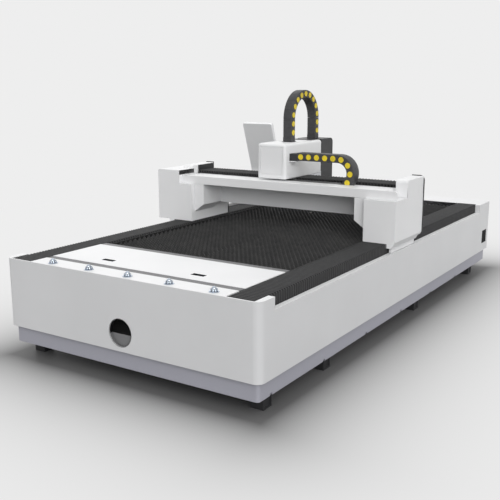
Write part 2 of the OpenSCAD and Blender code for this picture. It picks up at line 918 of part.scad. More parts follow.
module beam_bellows_right() {
    beam_fold(carriage_x + carriage_w / 2, beam_end, beam_end);
}

module x_chain_upper() {
    color(dark) translate([chain_x, chain_y, chain_z]) chain_run(x_links, chain_w);
}

module x_chain_bend() {
    color(dark) translate([bend_x, chain_y, chain_z - bend_r]) chain_arc(bend_r, chain_w);
}

module x_chain_lower() {
    color(dark) translate([bend_x - x_low_links * link_p, chain_y, chain_low])
        chain_run(x_low_links, chain_w);
}

// Round-edged cover of the carriage, with the shelf under the chain's end
module carriage_cover() {
    x0 = carriage_x - carriage_w / 2;
    x1 = carriage_x + carriage_w / 2;
    r = carriage_r;
    color(white) {
        difference() {
            union() {
                round_block(x0, x1, carriage_y, carriage_end, cover_z, carriage_top - r, r);
                along_y(carriage_y + r, carriage_end - r) round_top(x0, x1, carriage_top, r);
                for (y = [carriage_y + r, carriage_end - r])
                    translate([0, y, carriage_top - r]) rotate([0, 90, 0])
                        translate([0, 0, x0 + r]) cylinder(r = r, h = x1 - x0 - 2 * r);
                for (x = [x0 + r, x1 - r], y = [carriage_y + r, carriage_end - r])
                    translate([x, y, carriage_top - r]) sphere(r = r);
            }
            block(x0 + sheet, x1 - sheet, carriage_y + 8, carriage_end - sheet, cover_z - eps,
                carriage_top - r);
            front_panel_place(panel_sink) panel_outline(0);
        }
        block(x1, chain_x - 8, chain_y - 4, chain_y + chain_w + 4, chain_z - link_h / 2 - 12,
            chain_z - link_h / 2 - 6);
    }
}

// Outline of the cover's top, round at both sides
module round_top(x0, x1, z, r) {
    polygon([[x0, z - r], [x1, z - r], [x1 - r, z], [x0 + r, z]]);
    for (x = [x0 + r, x1 - r]) translate([x, z - r]) circle(r = r);
}

module front_panel_place(d) {
    along_y(carriage_y - eps, carriage_y + d) children();
}

module panel_outline(gap) {
    m = panel_margin + gap;
    x0 = carriage_x - carriage_w / 2 + m;
    x1 = carriage_x + carriage_w / 2 - m;
    z0 = cover_z + m + 8;
    z1 = carriage_top - m;
    r = 16;
    translate([x0 + r, z0]) square([x1 - x0 - 2 * r, z1 - z0]);
    translate([x0, z0 + r]) square([x1 - x0, z1 - z0 - 2 * r]);
    for (x = [x0 + r, x1 - r], z = [z0 + r, z1 - r]) translate([x, z]) circle(r = r);
}

module carriage_panel() {
    color(white) along_y(carriage_y, carriage_y + panel_sink) panel_outline(3);
}

// Plate and blocks that carry the carriage on the beam's rails
module x_saddle() {
    x0 = carriage_x - carriage_w / 2 + sheet;
    x1 = carriage_x + carriage_w / 2 - sheet;
    color(steel) {
        block(x0, x1, fold_y0, carriage_end - sheet, xrail_z + fit, cover_z + 14);
        for (y = [fold_y0 + 36, fold_y1 - 36], s = [-1, 1])
            block(x0, x1, y + (s < 0 ? -24 : 12 + fit), y + (s < 0 ? -12 - fit : 24), xblock_z, xrail_z + 5);
    }
}

// End fittings of the two chains on the carriage
module chain_brackets() {
    x1 = carriage_x + carriage_w / 2;
    color(black) {
        block(x1, chain_x, chain_y + 4, chain_y + chain_w - 4, chain_z - link_h / 2 - 6, chain_z + 24);
        block(arch_x - arch_w / 2 - 8, arch_x + arch_w / 2 + 8, arch_y - 48, arch_y + 44,
            carriage_top, carriage_top + foot_t);
    }
}

// Arch of chain from the carriage's top back to the lift unit
module z_chain() {
    leg = arch_z - carriage_top - foot_t;
    color(dark) translate([arch_x + arch_w / 2, arch_y + arch_r, arch_z]) rotate([0, 0, 90]) {
        rotate([0, -90, 0]) chain_arc(arch_r, arch_w);
        for (x = [-arch_r, arch_r]) translate([x, 0, -leg]) rotate([0, -90, 0]) arch_leg(leg);
    }
}

// One upright stretch of the arch, cut to length
module arch_leg(l) {
    intersection() {
        chain_run(ceil(l / link_p), arch_w);
        block(0, l, -cap_t, arch_w + cap_t, -link_h, link_h);
    }
}

// Fixed plate behind the beam, with the rails of the lift unit
module z_plate() {
    w = lift_w / 2 - 22;
    color(black) {
        block(carriage_x - w, carriage_x + w, carriage_end, carriage_end + z_plate_t, lift_z + 20,
            carriage_top + foot_t);
        block(carriage_x - w, carriage_x + w, carriage_end - lift_flange, carriage_end, carriage_top,
            carriage_top + foot_t);
        for (x = [-z_rail_x, z_rail_x])
            block(carriage_x + x - z_rail_w / 2, carriage_x + x + z_rail_w / 2, carriage_end + z_plate_t,
                lift_y + z_rail_t, lift_z + 20, carriage_top - carriage_r);
    }
}

// Dark lift unit that slides on the plate
module z_slide() {
    r = lift_r;
    x0 = carriage_x - lift_w / 2;
    x1 = carriage_x + lift_w / 2;
    color(black) difference() {
        union() {
            block(x0, x1, lift_y, lift_y + lift_d, lift_z, lift_top - r);
            block(x0, x1, lift_y, lift_y + lift_d - r, lift_z, lift_top);
            translate([x0, lift_y + lift_d - r, lift_top - r]) rotate([0, 90, 0])
                cylinder(r = r, h = x1 - x0);
        }
        for (x = [-z_rail_x, z_rail_x])
            block(carriage_x + x - z_rail_w / 2 - fit, carriage_x + x + z_rail_w / 2 + fit, lift_y - eps,
                lift_y + z_rail_t, lift_z - eps, lift_top + eps);
    }
}

module cutting_head() {
    z1 = nozzle_z + 26;
    color(steel) translate([carriage_x, head_y, 0]) {
        translate([0, 0, z1 + 46]) cylinder(r = head_r, h = lift_z - z1 - 46);
        translate([0, 0, z1]) cylinder(r1 = 24, r2 = head_r, h = 46);
        translate([0, -head_r + 4, z1 + 80]) block(-30, 30, -8, 8, 0, 36);
    }
}

module nozzle() {
    color(chrome) translate([carriage_x, head_y, nozzle_z]) rotate_extrude()
        polygon([[1, 0], [4, 0], [11, 12], [20, 14], [20, 26], [1, 26]]);
}

// Sets the part's footprint box on the origin
module placed() {
    translate([shift_x, -casing_l / 2, 0]) children();
}

placed() bed_frame();
placed() feet();
placed() plinth();
placed() casing();
placed() front_strip();
placed() cover_panel();
placed() ball_cups();
placed() transfer_ball(0);  // ball_1
placed() transfer_ball(1);  // ball_2
placed() transfer_ball(2);  // ball_3
placed() transfer_ball(3);  // ball_4
placed() transfer_ball(4);  // ball_5
placed() slats();
placed() slat_frame();
placed() slag_tray();
placed() duct_collar();
placed() vent_grille();
placed() y_rails();
placed() y_racks();
placed() front_bellows();
placed() rear_bellows();
placed() y_chain_tray();
placed() y_chain_lower();
placed() console_post();
placed() console_desk();
placed() console_housing();
placed() console_screen();
placed() e_stop();
placed() start_button();
placed() leg_left();
placed() leg_right();
placed() saddles();
placed() bearing_blocks();
placed() cable_box();
placed() beam_hoods();
placed() rear_plates();
placed() beam_brackets();
placed() beam();
placed() beam_tray();
placed() x_rails();
placed() x_rack();
placed() y_motors();
placed() pinion(-1);  // pinion_left
placed() pinion(1);  // pinion_right
placed() beam_bellows_left();
placed() beam_bellows_right();
placed() x_chain_lower();
placed() y_chain_upper();
placed() x_chain_bend();
placed() y_chain_bend();
placed() carriage_cover();
placed() carriage_panel();
placed() x_saddle();
placed() chain_brackets();
placed() x_chain_upper();
placed() z_chain();
placed() z_plate();
placed() z_slide();
placed() cutting_head();
placed() nozzle();
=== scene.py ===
import json
import math

import bmesh
import bpy
from mathutils import Matrix, Quaternion, Vector


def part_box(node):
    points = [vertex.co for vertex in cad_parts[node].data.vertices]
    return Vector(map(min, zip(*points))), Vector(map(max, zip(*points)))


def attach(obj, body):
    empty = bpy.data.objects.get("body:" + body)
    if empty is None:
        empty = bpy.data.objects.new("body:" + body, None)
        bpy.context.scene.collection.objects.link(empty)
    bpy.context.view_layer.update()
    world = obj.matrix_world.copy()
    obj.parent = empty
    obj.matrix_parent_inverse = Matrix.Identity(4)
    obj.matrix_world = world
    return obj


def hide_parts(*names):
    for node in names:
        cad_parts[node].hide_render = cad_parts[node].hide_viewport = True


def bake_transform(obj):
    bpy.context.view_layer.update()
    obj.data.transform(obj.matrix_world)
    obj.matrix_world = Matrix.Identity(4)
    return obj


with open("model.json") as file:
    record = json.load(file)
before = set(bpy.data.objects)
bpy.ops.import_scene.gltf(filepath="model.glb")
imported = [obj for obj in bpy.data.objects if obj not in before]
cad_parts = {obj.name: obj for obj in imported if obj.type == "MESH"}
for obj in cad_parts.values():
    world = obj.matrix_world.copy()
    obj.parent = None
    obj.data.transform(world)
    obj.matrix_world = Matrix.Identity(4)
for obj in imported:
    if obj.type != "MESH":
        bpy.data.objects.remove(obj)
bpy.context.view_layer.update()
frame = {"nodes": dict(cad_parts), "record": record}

# Places that several pieces share, in metres
CASING_LOW, CASING_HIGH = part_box("casing")
CENTRE_X = (CASING_LOW.x + CASING_HIGH.x) / 2
FRONT_Y = CASING_LOW.y
BED_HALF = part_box("cover_panel")[1].x - CENTRE_X
SHEET = 0.004
BEHAVIOUR = frame["record"]["behaviour"]
BODY_OF = {node: body for body, nodes in BEHAVIOUR["bodies"].items() for node in nodes}
RANGE = {joint["name"]: joint.get("range_m") for joint in BEHAVIOUR["joints"]}

# Edges that turn by more than this count as sharp, and points closer than these as one place
SHARP_ANGLE = math.radians(35)
NEAR = 1e-4
WELD = 1e-5
FINE_WELD = 1e-6


# Finishes

FOLD_DEPTH = "fold_depth"
# Half the width of the step between painted light and painted shade in the duct
PAINTED_LIGHT_EDGE = 0.004


def new_finish(name):
    finish = bpy.data.materials.new(name)
    finish.use_nodes = True
    nodes = finish.node_tree.nodes
    return finish, nodes, finish.node_tree.links, nodes["Principled BSDF"]


def spread(nodes, links, scale, detail=3.0, stretch=(1, 1, 1)):
    """Noise on the piece's own coordinates, in cycles a metre."""
    place = nodes.new("ShaderNodeTexCoord")
    turn = nodes.new("ShaderNodeMapping")
    turn.inputs["Scale"].default_value = stretch
    noise = nodes.new("ShaderNodeTexNoise")
    noise.inputs["Scale"].default_value = scale
    noise.inputs["Detail"].default_value = detail
    links.new(place.outputs["Object"], turn.inputs["Vector"])
    links.new(turn.outputs["Vector"], noise.inputs["Vector"])
    return noise.outputs["Fac"]


def two_tones(nodes, links, fac, first, second, low=0.35, high=0.65):
    """Runs from one colour to another as the factor rises."""
    ramp = nodes.new("ShaderNodeValToRGB")
    ramp.color_ramp.elements[0].position = low
    ramp.color_ramp.elements[0].color = (*first, 1)
    ramp.color_ramp.elements[1].position = high
    ramp.color_ramp.elements[1].color = (*second, 1)
    links.new(fac, ramp.inputs["Fac"])
    return ramp.outputs["Color"]


def between(nodes, links, fac, low, high):
    """Spreads the factor over a range of values."""
    remap = nodes.new("ShaderNodeMapRange")
    remap.inputs["To Min"].default_value = low
    remap.inputs["To Max"].default_value = high
    links.new(fac, remap.inputs["Value"])
    return remap.outputs["Result"]


def grain(nodes, links, fac, shader, strength, depth):
    """Relief too fine to model, as bump on the shader."""
    bump = nodes.new("ShaderNodeBump")
    bump.inputs["Strength"].default_value = strength
    bump.inputs["Distance"].default_value = depth
    links.new(fac, bump.inputs["Height"])
    links.new(bump.outputs["Normal"], shader.inputs["Normal"])


def shade(colour, factor):
    return tuple(c * factor for c in colour)


def powder_coat(name, colour, rough=(0.38, 0.5), unevenness=0.97):
    """Baked powder paint: a faint orange peel and slight unevenness of tone."""
    finish, nodes, links, shader = new_finish(name)
    clouds = spread(nodes, links, scale=2.2)
    tone = two_tones(nodes, links, clouds, shade(colour, unevenness), colour)
    links.new(tone, shader.inputs["Base Color"])
    gloss = between(nodes, links, spread(nodes, links, scale=9.0), *rough)
    links.new(gloss, shader.inputs["Roughness"])
    peel = spread(nodes, links, scale=420.0, detail=2.0)
    grain(nodes, links, peel, shader, strength=0.06, depth=0.0006)
    return finish


def duct_painted_light_and_shade(name, dust_and_painted_light, painted_shade, height):
    """Inside of a duct: pale grey below a height as painted light falling in onto the tray, and
    black above it as painted shade.
    """
    finish, nodes, links, shader = new_finish(name)
    place = nodes.new("ShaderNodeTexCoord")
    split = nodes.new("ShaderNodeSeparateXYZ")
    links.new(place.outputs["Object"], split.inputs["Vector"])
    level = nodes.new("ShaderNodeMapRange")
    level.inputs["From Min"].default_value = height - PAINTED_LIGHT_EDGE
    level.inputs["From Max"].default_value = height + PAINTED_LIGHT_EDGE
    links.new(split.outputs["Z"], level.inputs["Value"])
    tone = two_tones(nodes, links, level.outputs["Result"], dust_and_painted_light, painted_shade)
    links.new(tone, shader.inputs["Base Color"])
    gloss = between(nodes, links, spread(nodes, links, scale=40.0), 0.6, 0.8)
    links.new(gloss, shader.inputs["Roughness"])
    shader.inputs["Specular IOR Level"].default_value = 0.1
    return finish


def moulded_plastic(name, colour, rough=(0.45, 0.6)):
    """Spark-eroded plastic with a fine grain."""
    finish, nodes, links, shader = new_finish(name)
    clouds = spread(nodes, links, scale=30.0)
    tone = two_tones(nodes, links, clouds, shade(colour, 0.8), colour)
    links.new(tone, shader.inputs["Base Color"])
    gloss = between(nodes, links, spread(nodes, links, scale=60.0), *rough)
    links.new(gloss, shader.inputs["Roughness"])
    pits = spread(nodes, links, scale=900.0, detail=2.0)
    grain(nodes, links, pits, shader, strength=0.15, depth=0.0004)
    return finish


def coated_cloth(name, crest, valley):
    """Woven cloth with a rubber coat, painted pale on the crests as a painted highlight and dark in
    the folds as painted shade.
    """
    finish, nodes, links, shader = new_finish(name)
    depth = nodes.new("ShaderNodeAttribute")
    depth.attribute_name = FOLD_DEPTH
    # Painted light: the colour runs from a painted highlight on the crests to painted shade deep in
    # the folds
    crest_highlight_and_fold_shade = two_tones(nodes, links, depth.outputs["Fac"], crest, valley, low=0.0, high=0.8)
    clouds = spread(nodes, links, scale=14.0, detail=5.0)
    dust_and_painted_light = two_tones(nodes, links, clouds, (0.85, 0.85, 0.85), (1, 1, 1))
    both = nodes.new("ShaderNodeMix")
    both.data_type = "RGBA"
    both.blend_type = "MULTIPLY"
    both.inputs["Factor"].default_value = 1.0
    links.new(crest_highlight_and_fold_shade, both.inputs["A"])
    links.new(dust_and_painted_light, both.inputs["B"])
    links.new(both.outputs["Result"], shader.inputs["Base Color"])
    shader.inputs["Specular IOR Level"].default_value = 0.25
    gloss = between(nodes, links, spread(nodes, links, scale=40.0), 0.55, 0.75)
    links.new(gloss, shader.inputs["Roughness"])
    weave = nodes.new("ShaderNodeTexWave")
    weave.inputs["Scale"].default_value = 160.0
    weave.inputs["Distortion"].default_value = 0.6
    place = nodes.new("ShaderNodeTexCoord")
    links.new(place.outputs["Object"], weave.inputs["Vector"])
    grain(nodes, links, weave.outputs["Fac"], shader, strength=0.12, depth=0.0005)
    return finish


def scorched_steel(name, dark, light):
    """Mill plate browned by cutting, with scale and bare patches."""
    finish, nodes, links, shader = new_finish(name)
    patches = spread(nodes, links, scale=11.0, detail=6.0)
    tone = two_tones(nodes, links, patches, dark, light, low=0.3, high=0.75)
    links.new(tone, shader.inputs["Base Color"])
    gloss = between(nodes, links, spread(nodes, links, scale=35.0), 0.4, 0.7)
    links.new(gloss, shader.inputs["Roughness"])
    shader.inputs["Metallic"].default_value = 0.35
    scale_marks = spread(nodes, links, scale=180.0, detail=4.0)
    grain(nodes, links, scale_marks, shader, strength=0.2, depth=0.0006)
    return finish


def ground_steel(name, colour, along=(1, 1, 40), rough=(0.22, 0.4)):
    """Ground metal with lines along one direction."""
    finish, nodes, links, shader = new_finish(name)
    lines = spread(nodes, links, scale=30.0, detail=4.0, stretch=along)
    tone = two_tones(nodes, links, lines, shade(colour, 0.85), colour)
    links.new(tone, shader.inputs["Base Color"])
    links.new(between(nodes, links, lines, *rough), shader.inputs["Roughness"])
    shader.inputs["Metallic"].default_value = 1.0
    grain(nodes, links, lines, shader, strength=0.05, depth=0.0003)
    return finish


def display_glass(name, colour):
    """Switched-off display: dark glass with faint smears."""
    finish, nodes, links, shader = new_finish(name)
    smears = spread(nodes, links, scale=16.0, detail=5.0, stretch=(1, 1, 3))
    tone = two_tones(nodes, links, smears, colour, shade(colour, 1.5))
    links.new(tone, shader.inputs["Base Color"])
    links.new(between(nodes, links, smears, 0.04, 0.16), shader.inputs["Roughness"])
    shader.inputs["Coat Weight"].default_value = 0.6
    return finish


CASING_WHITE = powder_coat("casing_white", (0.715, 0.718, 0.727))
GANTRY_WHITE = powder_coat("gantry_white", (0.84, 0.843, 0.85))
# A paler white on the casing's step ledges, as a painted highlight
LEDGE_PAINTED_HIGHLIGHT = powder_coat("ledge_painted_highlight", (0.92, 0.92, 0.925))
PLINTH_GREY = powder_coat("plinth_grey", (0.40, 0.40, 0.452))
BEAM_GREY = powder_coat("beam_grey", (0.77, 0.775, 0.785))
PANEL_GREY = powder_coat("console_grey", (0.86, 0.865, 0.875))
FITTING_BLACK = powder_coat("fitting_black", (0.022, 0.022, 0.024), (0.4, 0.55), 0.8)
FRAME_GREY = powder_coat("frame_grey", (0.15, 0.15, 0.155), (0.45, 0.6), 0.9)
LOUVRE_BLACK = powder_coat("louvre_black", (0.008, 0.008, 0.009), (0.5, 0.65), 0.8)
LOUVRE_SHADER = LOUVRE_BLACK.node_tree.nodes["Principled BSDF"]
LOUVRE_SHADER.inputs["Specular IOR Level"].default_value = 0.1
CHAIN_PLASTIC = moulded_plastic("chain_plastic", (0.048, 0.048, 0.050))
CAP_YELLOW = moulded_plastic("cap_yellow", (0.88, 0.68, 0.03), (0.35, 0.5))
# The crest colour is a painted highlight and the valley colour is painted shade
BELLOWS_CLOTH = coated_cloth(
    "bellows_cloth", crest=(0.052, 0.052, 0.053), valley=(0.008, 0.008, 0.009))
SLAT_STEEL = scorched_steel(
    "slat_steel", dark=(0.058, 0.058, 0.060), light=(0.092, 0.091, 0.089))
DIVIDER_STEEL = scorched_steel(
    "divider_steel", dark=(0.016, 0.016, 0.017), light=(0.032, 0.032, 0.031))
TRAY_GREY = powder_coat("tray_grey", (0.20, 0.20, 0.204), (0.5, 0.65), 0.9)
# The collar is painted pale grey below the tray's top as painted light and black above it as
# painted shade
COLLAR_BLACK = duct_painted_light_and_shade("collar_black", dust_and_painted_light=(0.17, 0.17, 0.173), painted_shade=(0.006, 0.006, 0.007),
                          height=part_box("slag_tray")[1].z)
RAIL_STEEL = ground_steel("rail_steel", (0.56, 0.57, 0.59))
CHROME = ground_steel("ball_chrome", (0.58, 0.64, 0.72), (1, 1, 1), (0.06, 0.14))
NOZZLE_METAL = ground_steel("nozzle_metal", (0.80, 0.78, 0.74), (1, 1, 30), (0.18, 0.3))
DISPLAY = display_glass("display_glass", (0.012, 0.013, 0.016))
STOP_RED = moulded_plastic("stop_red", (0.60, 0.02, 0.015), (0.25, 0.35))
START_GREEN = moulded_plastic("start_green", (0.02, 0.33, 0.06), (0.25, 0.35))


# Modelling

def to_piece(name, bm, finishes):
    """Makes a mesh object of a bmesh, with smooth faces between its sharp edges."""
    mesh = bpy.data.meshes.new(name)
    bm.to_mesh(mesh)
    bm.free()
    piece = bpy.data.objects.new(name, mesh)
    bpy.context.collection.objects.link(piece)
    for finish in finishes:
        mesh.materials.append(finish)
    mesh.shade_smooth()
    mesh.set_sharp_from_angle(angle=SHARP_ANGLE)
    return piece


def round_edges(piece, width, segments=2):
    edge = piece.modifiers.new("rounded edges", "BEVEL")
    edge.width = width
    edge.segments = segments
    edge.limit_method = "ANGLE"
    edge.angle_limit = SHARP_ANGLE
    edge.harden_normals = True


def thicken(piece, thickness, offset=-1.0):
    wall = piece.modifiers.new("sheet thickness", "SOLIDIFY")
    wall.thickness = thickness
    wall.offset = offset


def add_block(bm, low, high):
    low, high = Vector(low), Vector(high)
    place = Matrix.Translation((low + high) / 2) @ Matrix.Diagonal((*(high - low), 1))
    return bmesh.ops.create_cube(bm, size=1, matrix=place)["verts"]


def faces_of(verts):
    return list({face for vert in verts for face in vert.link_faces})


def cut(bm, point, normal, geom=None):
    """Cuts the mesh along a plane and leaves both sides."""
    geom = geom if geom is not None else bm.verts[:] + bm.edges[:] + bm.faces[:]
    bmesh.ops.bisect_plane(bm, geom=geom, plane_co=point, plane_no=normal, dist=FINE_WELD)


def drop_faces(bm, wanted):
    """Deletes every face that is not wanted at its centre and normal."""
    gone = [face for face in bm.faces if not wanted(face.calc_center_median(), face.normal)]
    bmesh.ops.delete(bm, geom=gone, context="FACES")


# Sheet metal pieces of the CAD frame with rounded edges

def merged_copy(node):
    """The CAD node's mesh with its triangles joined into whole faces."""
    bm = bmesh.new()
    bm.from_mesh(frame["nodes"][node].data)
    flat = math.radians(0.5)
    bmesh.ops.remove_doubles(bm, verts=bm.verts, dist=WELD)
    bmesh.ops.dissolve_limit(bm, angle_limit=flat, verts=bm.verts, edges=bm.edges)
    return bm


def softened(node, finish, width=0.003, segments=2, bm=None, second=None):
    """A copy of a CAD node with its edges rounded, in the node's place."""
    finishes = [finish, second] if second else [finish]
    piece = to_piece(node + "_rounded", bm or merged_copy(node), finishes)
    round_edges(piece, width, segments)
    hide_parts(node)
    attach(piece, BODY_OF[node])
    return piece


def paint_shade_in_slots(cover):
    """The cut edges of the two finger slots are painted black, as painted shade in the slots."""
    cover.data.materials.append(LOUVRE_BLACK)
    low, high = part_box("cover_panel")
    rim = 0.02
    for face in cover.data.polygons:
        within_x = low.x + rim < face.center.x < high.x - rim
        within_y = low.y + rim < face.center.y < high.y - rim
        if abs(face.normal.z) < 0.5 and within_x and within_y:
            face.material_index = 1


def flush(piece, height, reach):
    """Leaves the edges sharp where a leg and its hood meet in one flat side."""
    bm = bmesh.new()
    bm.from_mesh(piece.data)
    weight = bm.edges.layers.float.new("bevel_weight_edge")
    for edge in bm.edges:
        ends = [vert.co for vert in edge.verts]
        met = all(abs(end.z - height) < NEAR and abs(end.x - CENTRE_X) > reach for end in ends)
        turned_over = len(edge.link_faces) == 2 and edge.calc_face_angle() > SHARP_ANGLE
        edge[weight] = 1.0 if turned_over and not met else 0.0
    bm.to_mesh(piece.data)
    bm.free()
    piece.modifiers["rounded edges"].limit_method = "WEIGHT"


def gantry_legs():
    """The legs with their hoods, one flat face at each side."""
    low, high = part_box("beam_hoods")
    outer_face = high.x - CENTRE_X - 0.001
    for node in ("leg_left", "leg_right", "beam_hoods"):
        piece = softened(node, GANTRY_WHITE, width=0.005, segments=3)
        flush(piece, low.z, outer_face)


def cable_box():
    """Box at the left leg, open towards the beam above the tray, with painted shade inside the
    opening.
    """
    tray_low, tray_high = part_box("beam_tray")
    rim, depth, draft = 0.005, 0.09, 0.0002
    bm = merged_copy("cable_box")
    cut(bm, (0, 0, tray_high.z), (0, 0, 1))

    def in_mouth(face):
        centre = face.calc_center_median()
        at_tray_end = abs(centre.x - tray_low.x) < 0.002
        return face.normal.x > 0.9 and centre.z > tray_high.z and at_tray_end

    mouth = [face for face in bm.faces if in_mouth(face)]
    bmesh.ops.inset_region(bm, faces=mouth, thickness=rim)
    sides = bmesh.ops.inset_region(bm, faces=mouth, thickness=draft, depth=-depth)["faces"]
    # The mouth and its walls take the dark frame grey as painted shade
    for face in mouth + sides:
        face.material_index = 1
    softened("cable_box", GANTRY_WHITE, 0.004, 3, bm, FRAME_GREY)


def rear_plates():
    """Black plates behind the legs, with a narrow lip past the white sheets."""
    less, corner = 0.006, 0.03
    leg_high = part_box("leg_right")[1]
    hood_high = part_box("beam_hoods")[1]
    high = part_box("rear_plates")[1]
    bm = merged_copy("rear_plates")
    for vert in bm.verts:
        if vert.co.x > leg_high.x - corner and high.x - leg_high.x > less:
            vert.co.x -= less
        if vert.co.z > hood_high.z - corner and high.z - hood_high.z > less:
            vert.co.z -= less
    softened("rear_plates", FITTING_BLACK, 0.0015, 2, bm)


def sheet_metal():
    gantry_legs()
    cable_box()
    rear_plates()
    for node in ("beam_brackets", "beam_tray"):
        softened(node, GANTRY_WHITE, width=0.005, segments=3)
    paint_shade_in_slots(softened("cover_panel", GANTRY_WHITE, width=0.0008))
    for node in ("front_strip", "console_post", "console_desk"):
        softened(node, GANTRY_WHITE, width=0.0015)
    softened("plinth", PLINTH_GREY)
    softened("beam", BEAM_GREY, width=0.006, segments=3)
    softened("y_chain_tray", BEAM_GREY, width=0.001)
    softened("console_housing", PANEL_GREY, width=0.006, segments=3)
    for node in ("feet", "chain_brackets", "z_slide", "z_plate"):
        softened(node, FITTING_BLACK, width=0.0025)


# Casing

def casing():
    """One pressed shell: stepped side walls, post tops, rear deck and the duct opening."""
    low, high = CASING_LOW, CASING_HIGH
    step, ledge, foot_flange = 0.086, 0.05, 0.054
    corner, edge_round = 0.06, 0.0018
    front_post, rear_post = 0.174, 0.044
    step_z = high.z - step
    rim_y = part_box("front_bellows")[0].y
    post_y = low.y + front_post
    deck_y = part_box("rear_bellows")[1].y
    rear_post_y = deck_y - rear_post
    bm = bmesh.new()
    plan = Matrix.Translation((CENTRE_X, (low.y + high.y) / 2, low.z)) @ Matrix.Diagonal(
        (high.x - low.x, high.y - low.y, 1, 1))
    bmesh.ops.create_grid(bm, x_segments=1, y_segments=1, size=0.5, matrix=plan)
    bmesh.ops.bevel(bm, geom=bm.verts[:], offset=corner, segments=10, profile=0.5,
                    affect="VERTICES", material=-1)
    raised = bmesh.ops.extrude_face_region(bm, geom=bm.faces[:])["geom"]
    bmesh.ops.translate(bm, verts=[v for v in raised if isinstance(v, bmesh.types.BMVert)],
                        vec=(0, 0, high.z - low.z))
    bmesh.ops.recalc_face_normals(bm, faces=bm.faces[:])
    for x in (low.x + ledge, high.x - ledge, CENTRE_X - BED_HALF, CENTRE_X + BED_HALF):
        cut(bm, (x, 0, 0), (1, 0, 0))
    for y in (low.y + foot_flange, high.y - foot_flange, rim_y, post_y, rear_post_y, deck_y):
        cut(bm, (0, y, 0), (0, 1, 0))
    cut(bm, (0, 0, step_z), (0, 0, 1))

    def stays(centre, normal):
        at_side = abs(centre.x - CENTRE_X) > high.x - CENTRE_X - ledge
        along_step = post_y < centre.y < rear_post_y
        if normal.z > 0.5:
            over_bellows = centre.y < rim_y and abs(centre.x - CENTRE_X) > BED_HALF
            return centre.y > deck_y or over_bellows or (at_side and not along_step)
        if normal.z < -0.5:
            return at_side or not low.y + foot_flange < centre.y < high.y - foot_flange
        return not (along_step and centre.z > step_z)

    drop_faces(bm, stays)
    duct_opening(bm)
    vent_opening(bm)
    for side in (-1, 1):
        outer = high.x if side > 0 else low.x
        inner = outer - side * ledge
        near, far = sorted((inner, outer - side * SHEET))
        add_block(bm, (near, post_y, step_z - SHEET), (far, rear_post_y, step_z))
        for end_y in (post_y - SHEET, rear_post_y):
            add_block(bm, (near, end_y, step_z), (far, end_y + SHEET, high.z - SHEET))
    # Painted light: faces that point up take a brighter white, the gantry's white above the step
    # and a painted highlight white on the step's ledges
    for face in bm.faces:
        if face.normal.z > 0.9:
            face.material_index = 1 if face.calc_center_median().z > step_z + SHEET else 2
    whites = [CASING_WHITE, GANTRY_WHITE, LEDGE_PAINTED_HIGHLIGHT]
    piece = to_piece("casing_shell", bm, whites)
    thicken(piece, SHEET)
    round_edges(piece, edge_round)
    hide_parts("casing")
    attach(piece, "bed")


def duct_opening(bm):
    """Opens the round duct hole in the casing's front wall."""
    low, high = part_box("duct_collar")
    centre = Vector(((low.x + high.x) / 2, FRONT_Y, (low.z + high.z) / 2))
    radius = (high.z - low.z) / 2 - SHEET
    margin = radius * 1.25
    steps_a_side = 10
    for offset, normal in (((-margin, 0, 0), (1, 0, 0)), ((margin, 0, 0), (1, 0, 0)),
                           ((0, 0, -margin), (0, 0, 1)), ((0, 0, margin), (0, 0, 1))):
        front = [face for face in bm.faces if face.normal.y < -0.9]
        geom = list({part for face in front for part in (*face.verts, *face.edges)}) + front
        cut(bm, centre + Vector(offset), normal, geom)
    window = [face for face in bm.faces if face.normal.y < -0.9
              and (face.calc_center_median() - centre).length < margin * 0.5]
    border = list({edge for face in window for edge in face.edges
                   if any(other not in window for other in edge.link_faces)})
    bmesh.ops.delete(bm, geom=window, context="FACES_ONLY")
    split = bmesh.ops.subdivide_edges(bm, edges=border, cuts=steps_a_side - 1)["geom"]
    edges = [part for part in split if isinstance(part, bmesh.types.BMEdge)]
    border = [edge for edge in edges if len(edge.link_faces) == 1]
    plate = bmesh.ops.contextual_create(bm, geom=border)["faces"][0]
    bmesh.ops.inset_region(bm, faces=[plate], thickness=(margin - radius) / 2)
    for vert in plate.verts:
        vert.co = centre + (vert.co - centre).normalized() * radius
    bmesh.ops.delete(bm, geom=[plate], context="FACES_ONLY")
    around = [face for face in bm.faces if abs(face.calc_center_median().y - FRONT_Y) < NEAR]
    bmesh.ops.reverse_faces(bm, faces=[face for face in around if face.normal.y > 0.5])


def vent_opening(bm):
    """Opens the right side wall behind the louvre."""
    low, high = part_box("vent_grille")
    lip = 0.005

    def in_wall(face):
        return face.normal.x > 0.9 and abs(face.calc_center_median().x - CASING_HIGH.x) < NEAR

    def behind_louvre(face):
        centre = face.calc_center_median()
        return in_wall(face) and low.y < centre.y < high.y and low.z < centre.z < high.z

    for axis, place in ((1, low.y + lip), (1, high.y - lip), (2, low.z + lip), (2, high.z - lip)):
        point, normal = Vector((0, 0, 0)), Vector((0, 0, 0))
        point[axis], normal[axis] = place, 1
        wall = [face for face in bm.faces if in_wall(face)]
        parts = list({part for face in wall for part in (*face.verts, *face.edges)})
        cut(bm, point, normal, parts + wall)
    gone = [face for face in bm.faces if behind_louvre(face)]
    bmesh.ops.delete(bm, geom=gone, context="FACES")


# Carriage

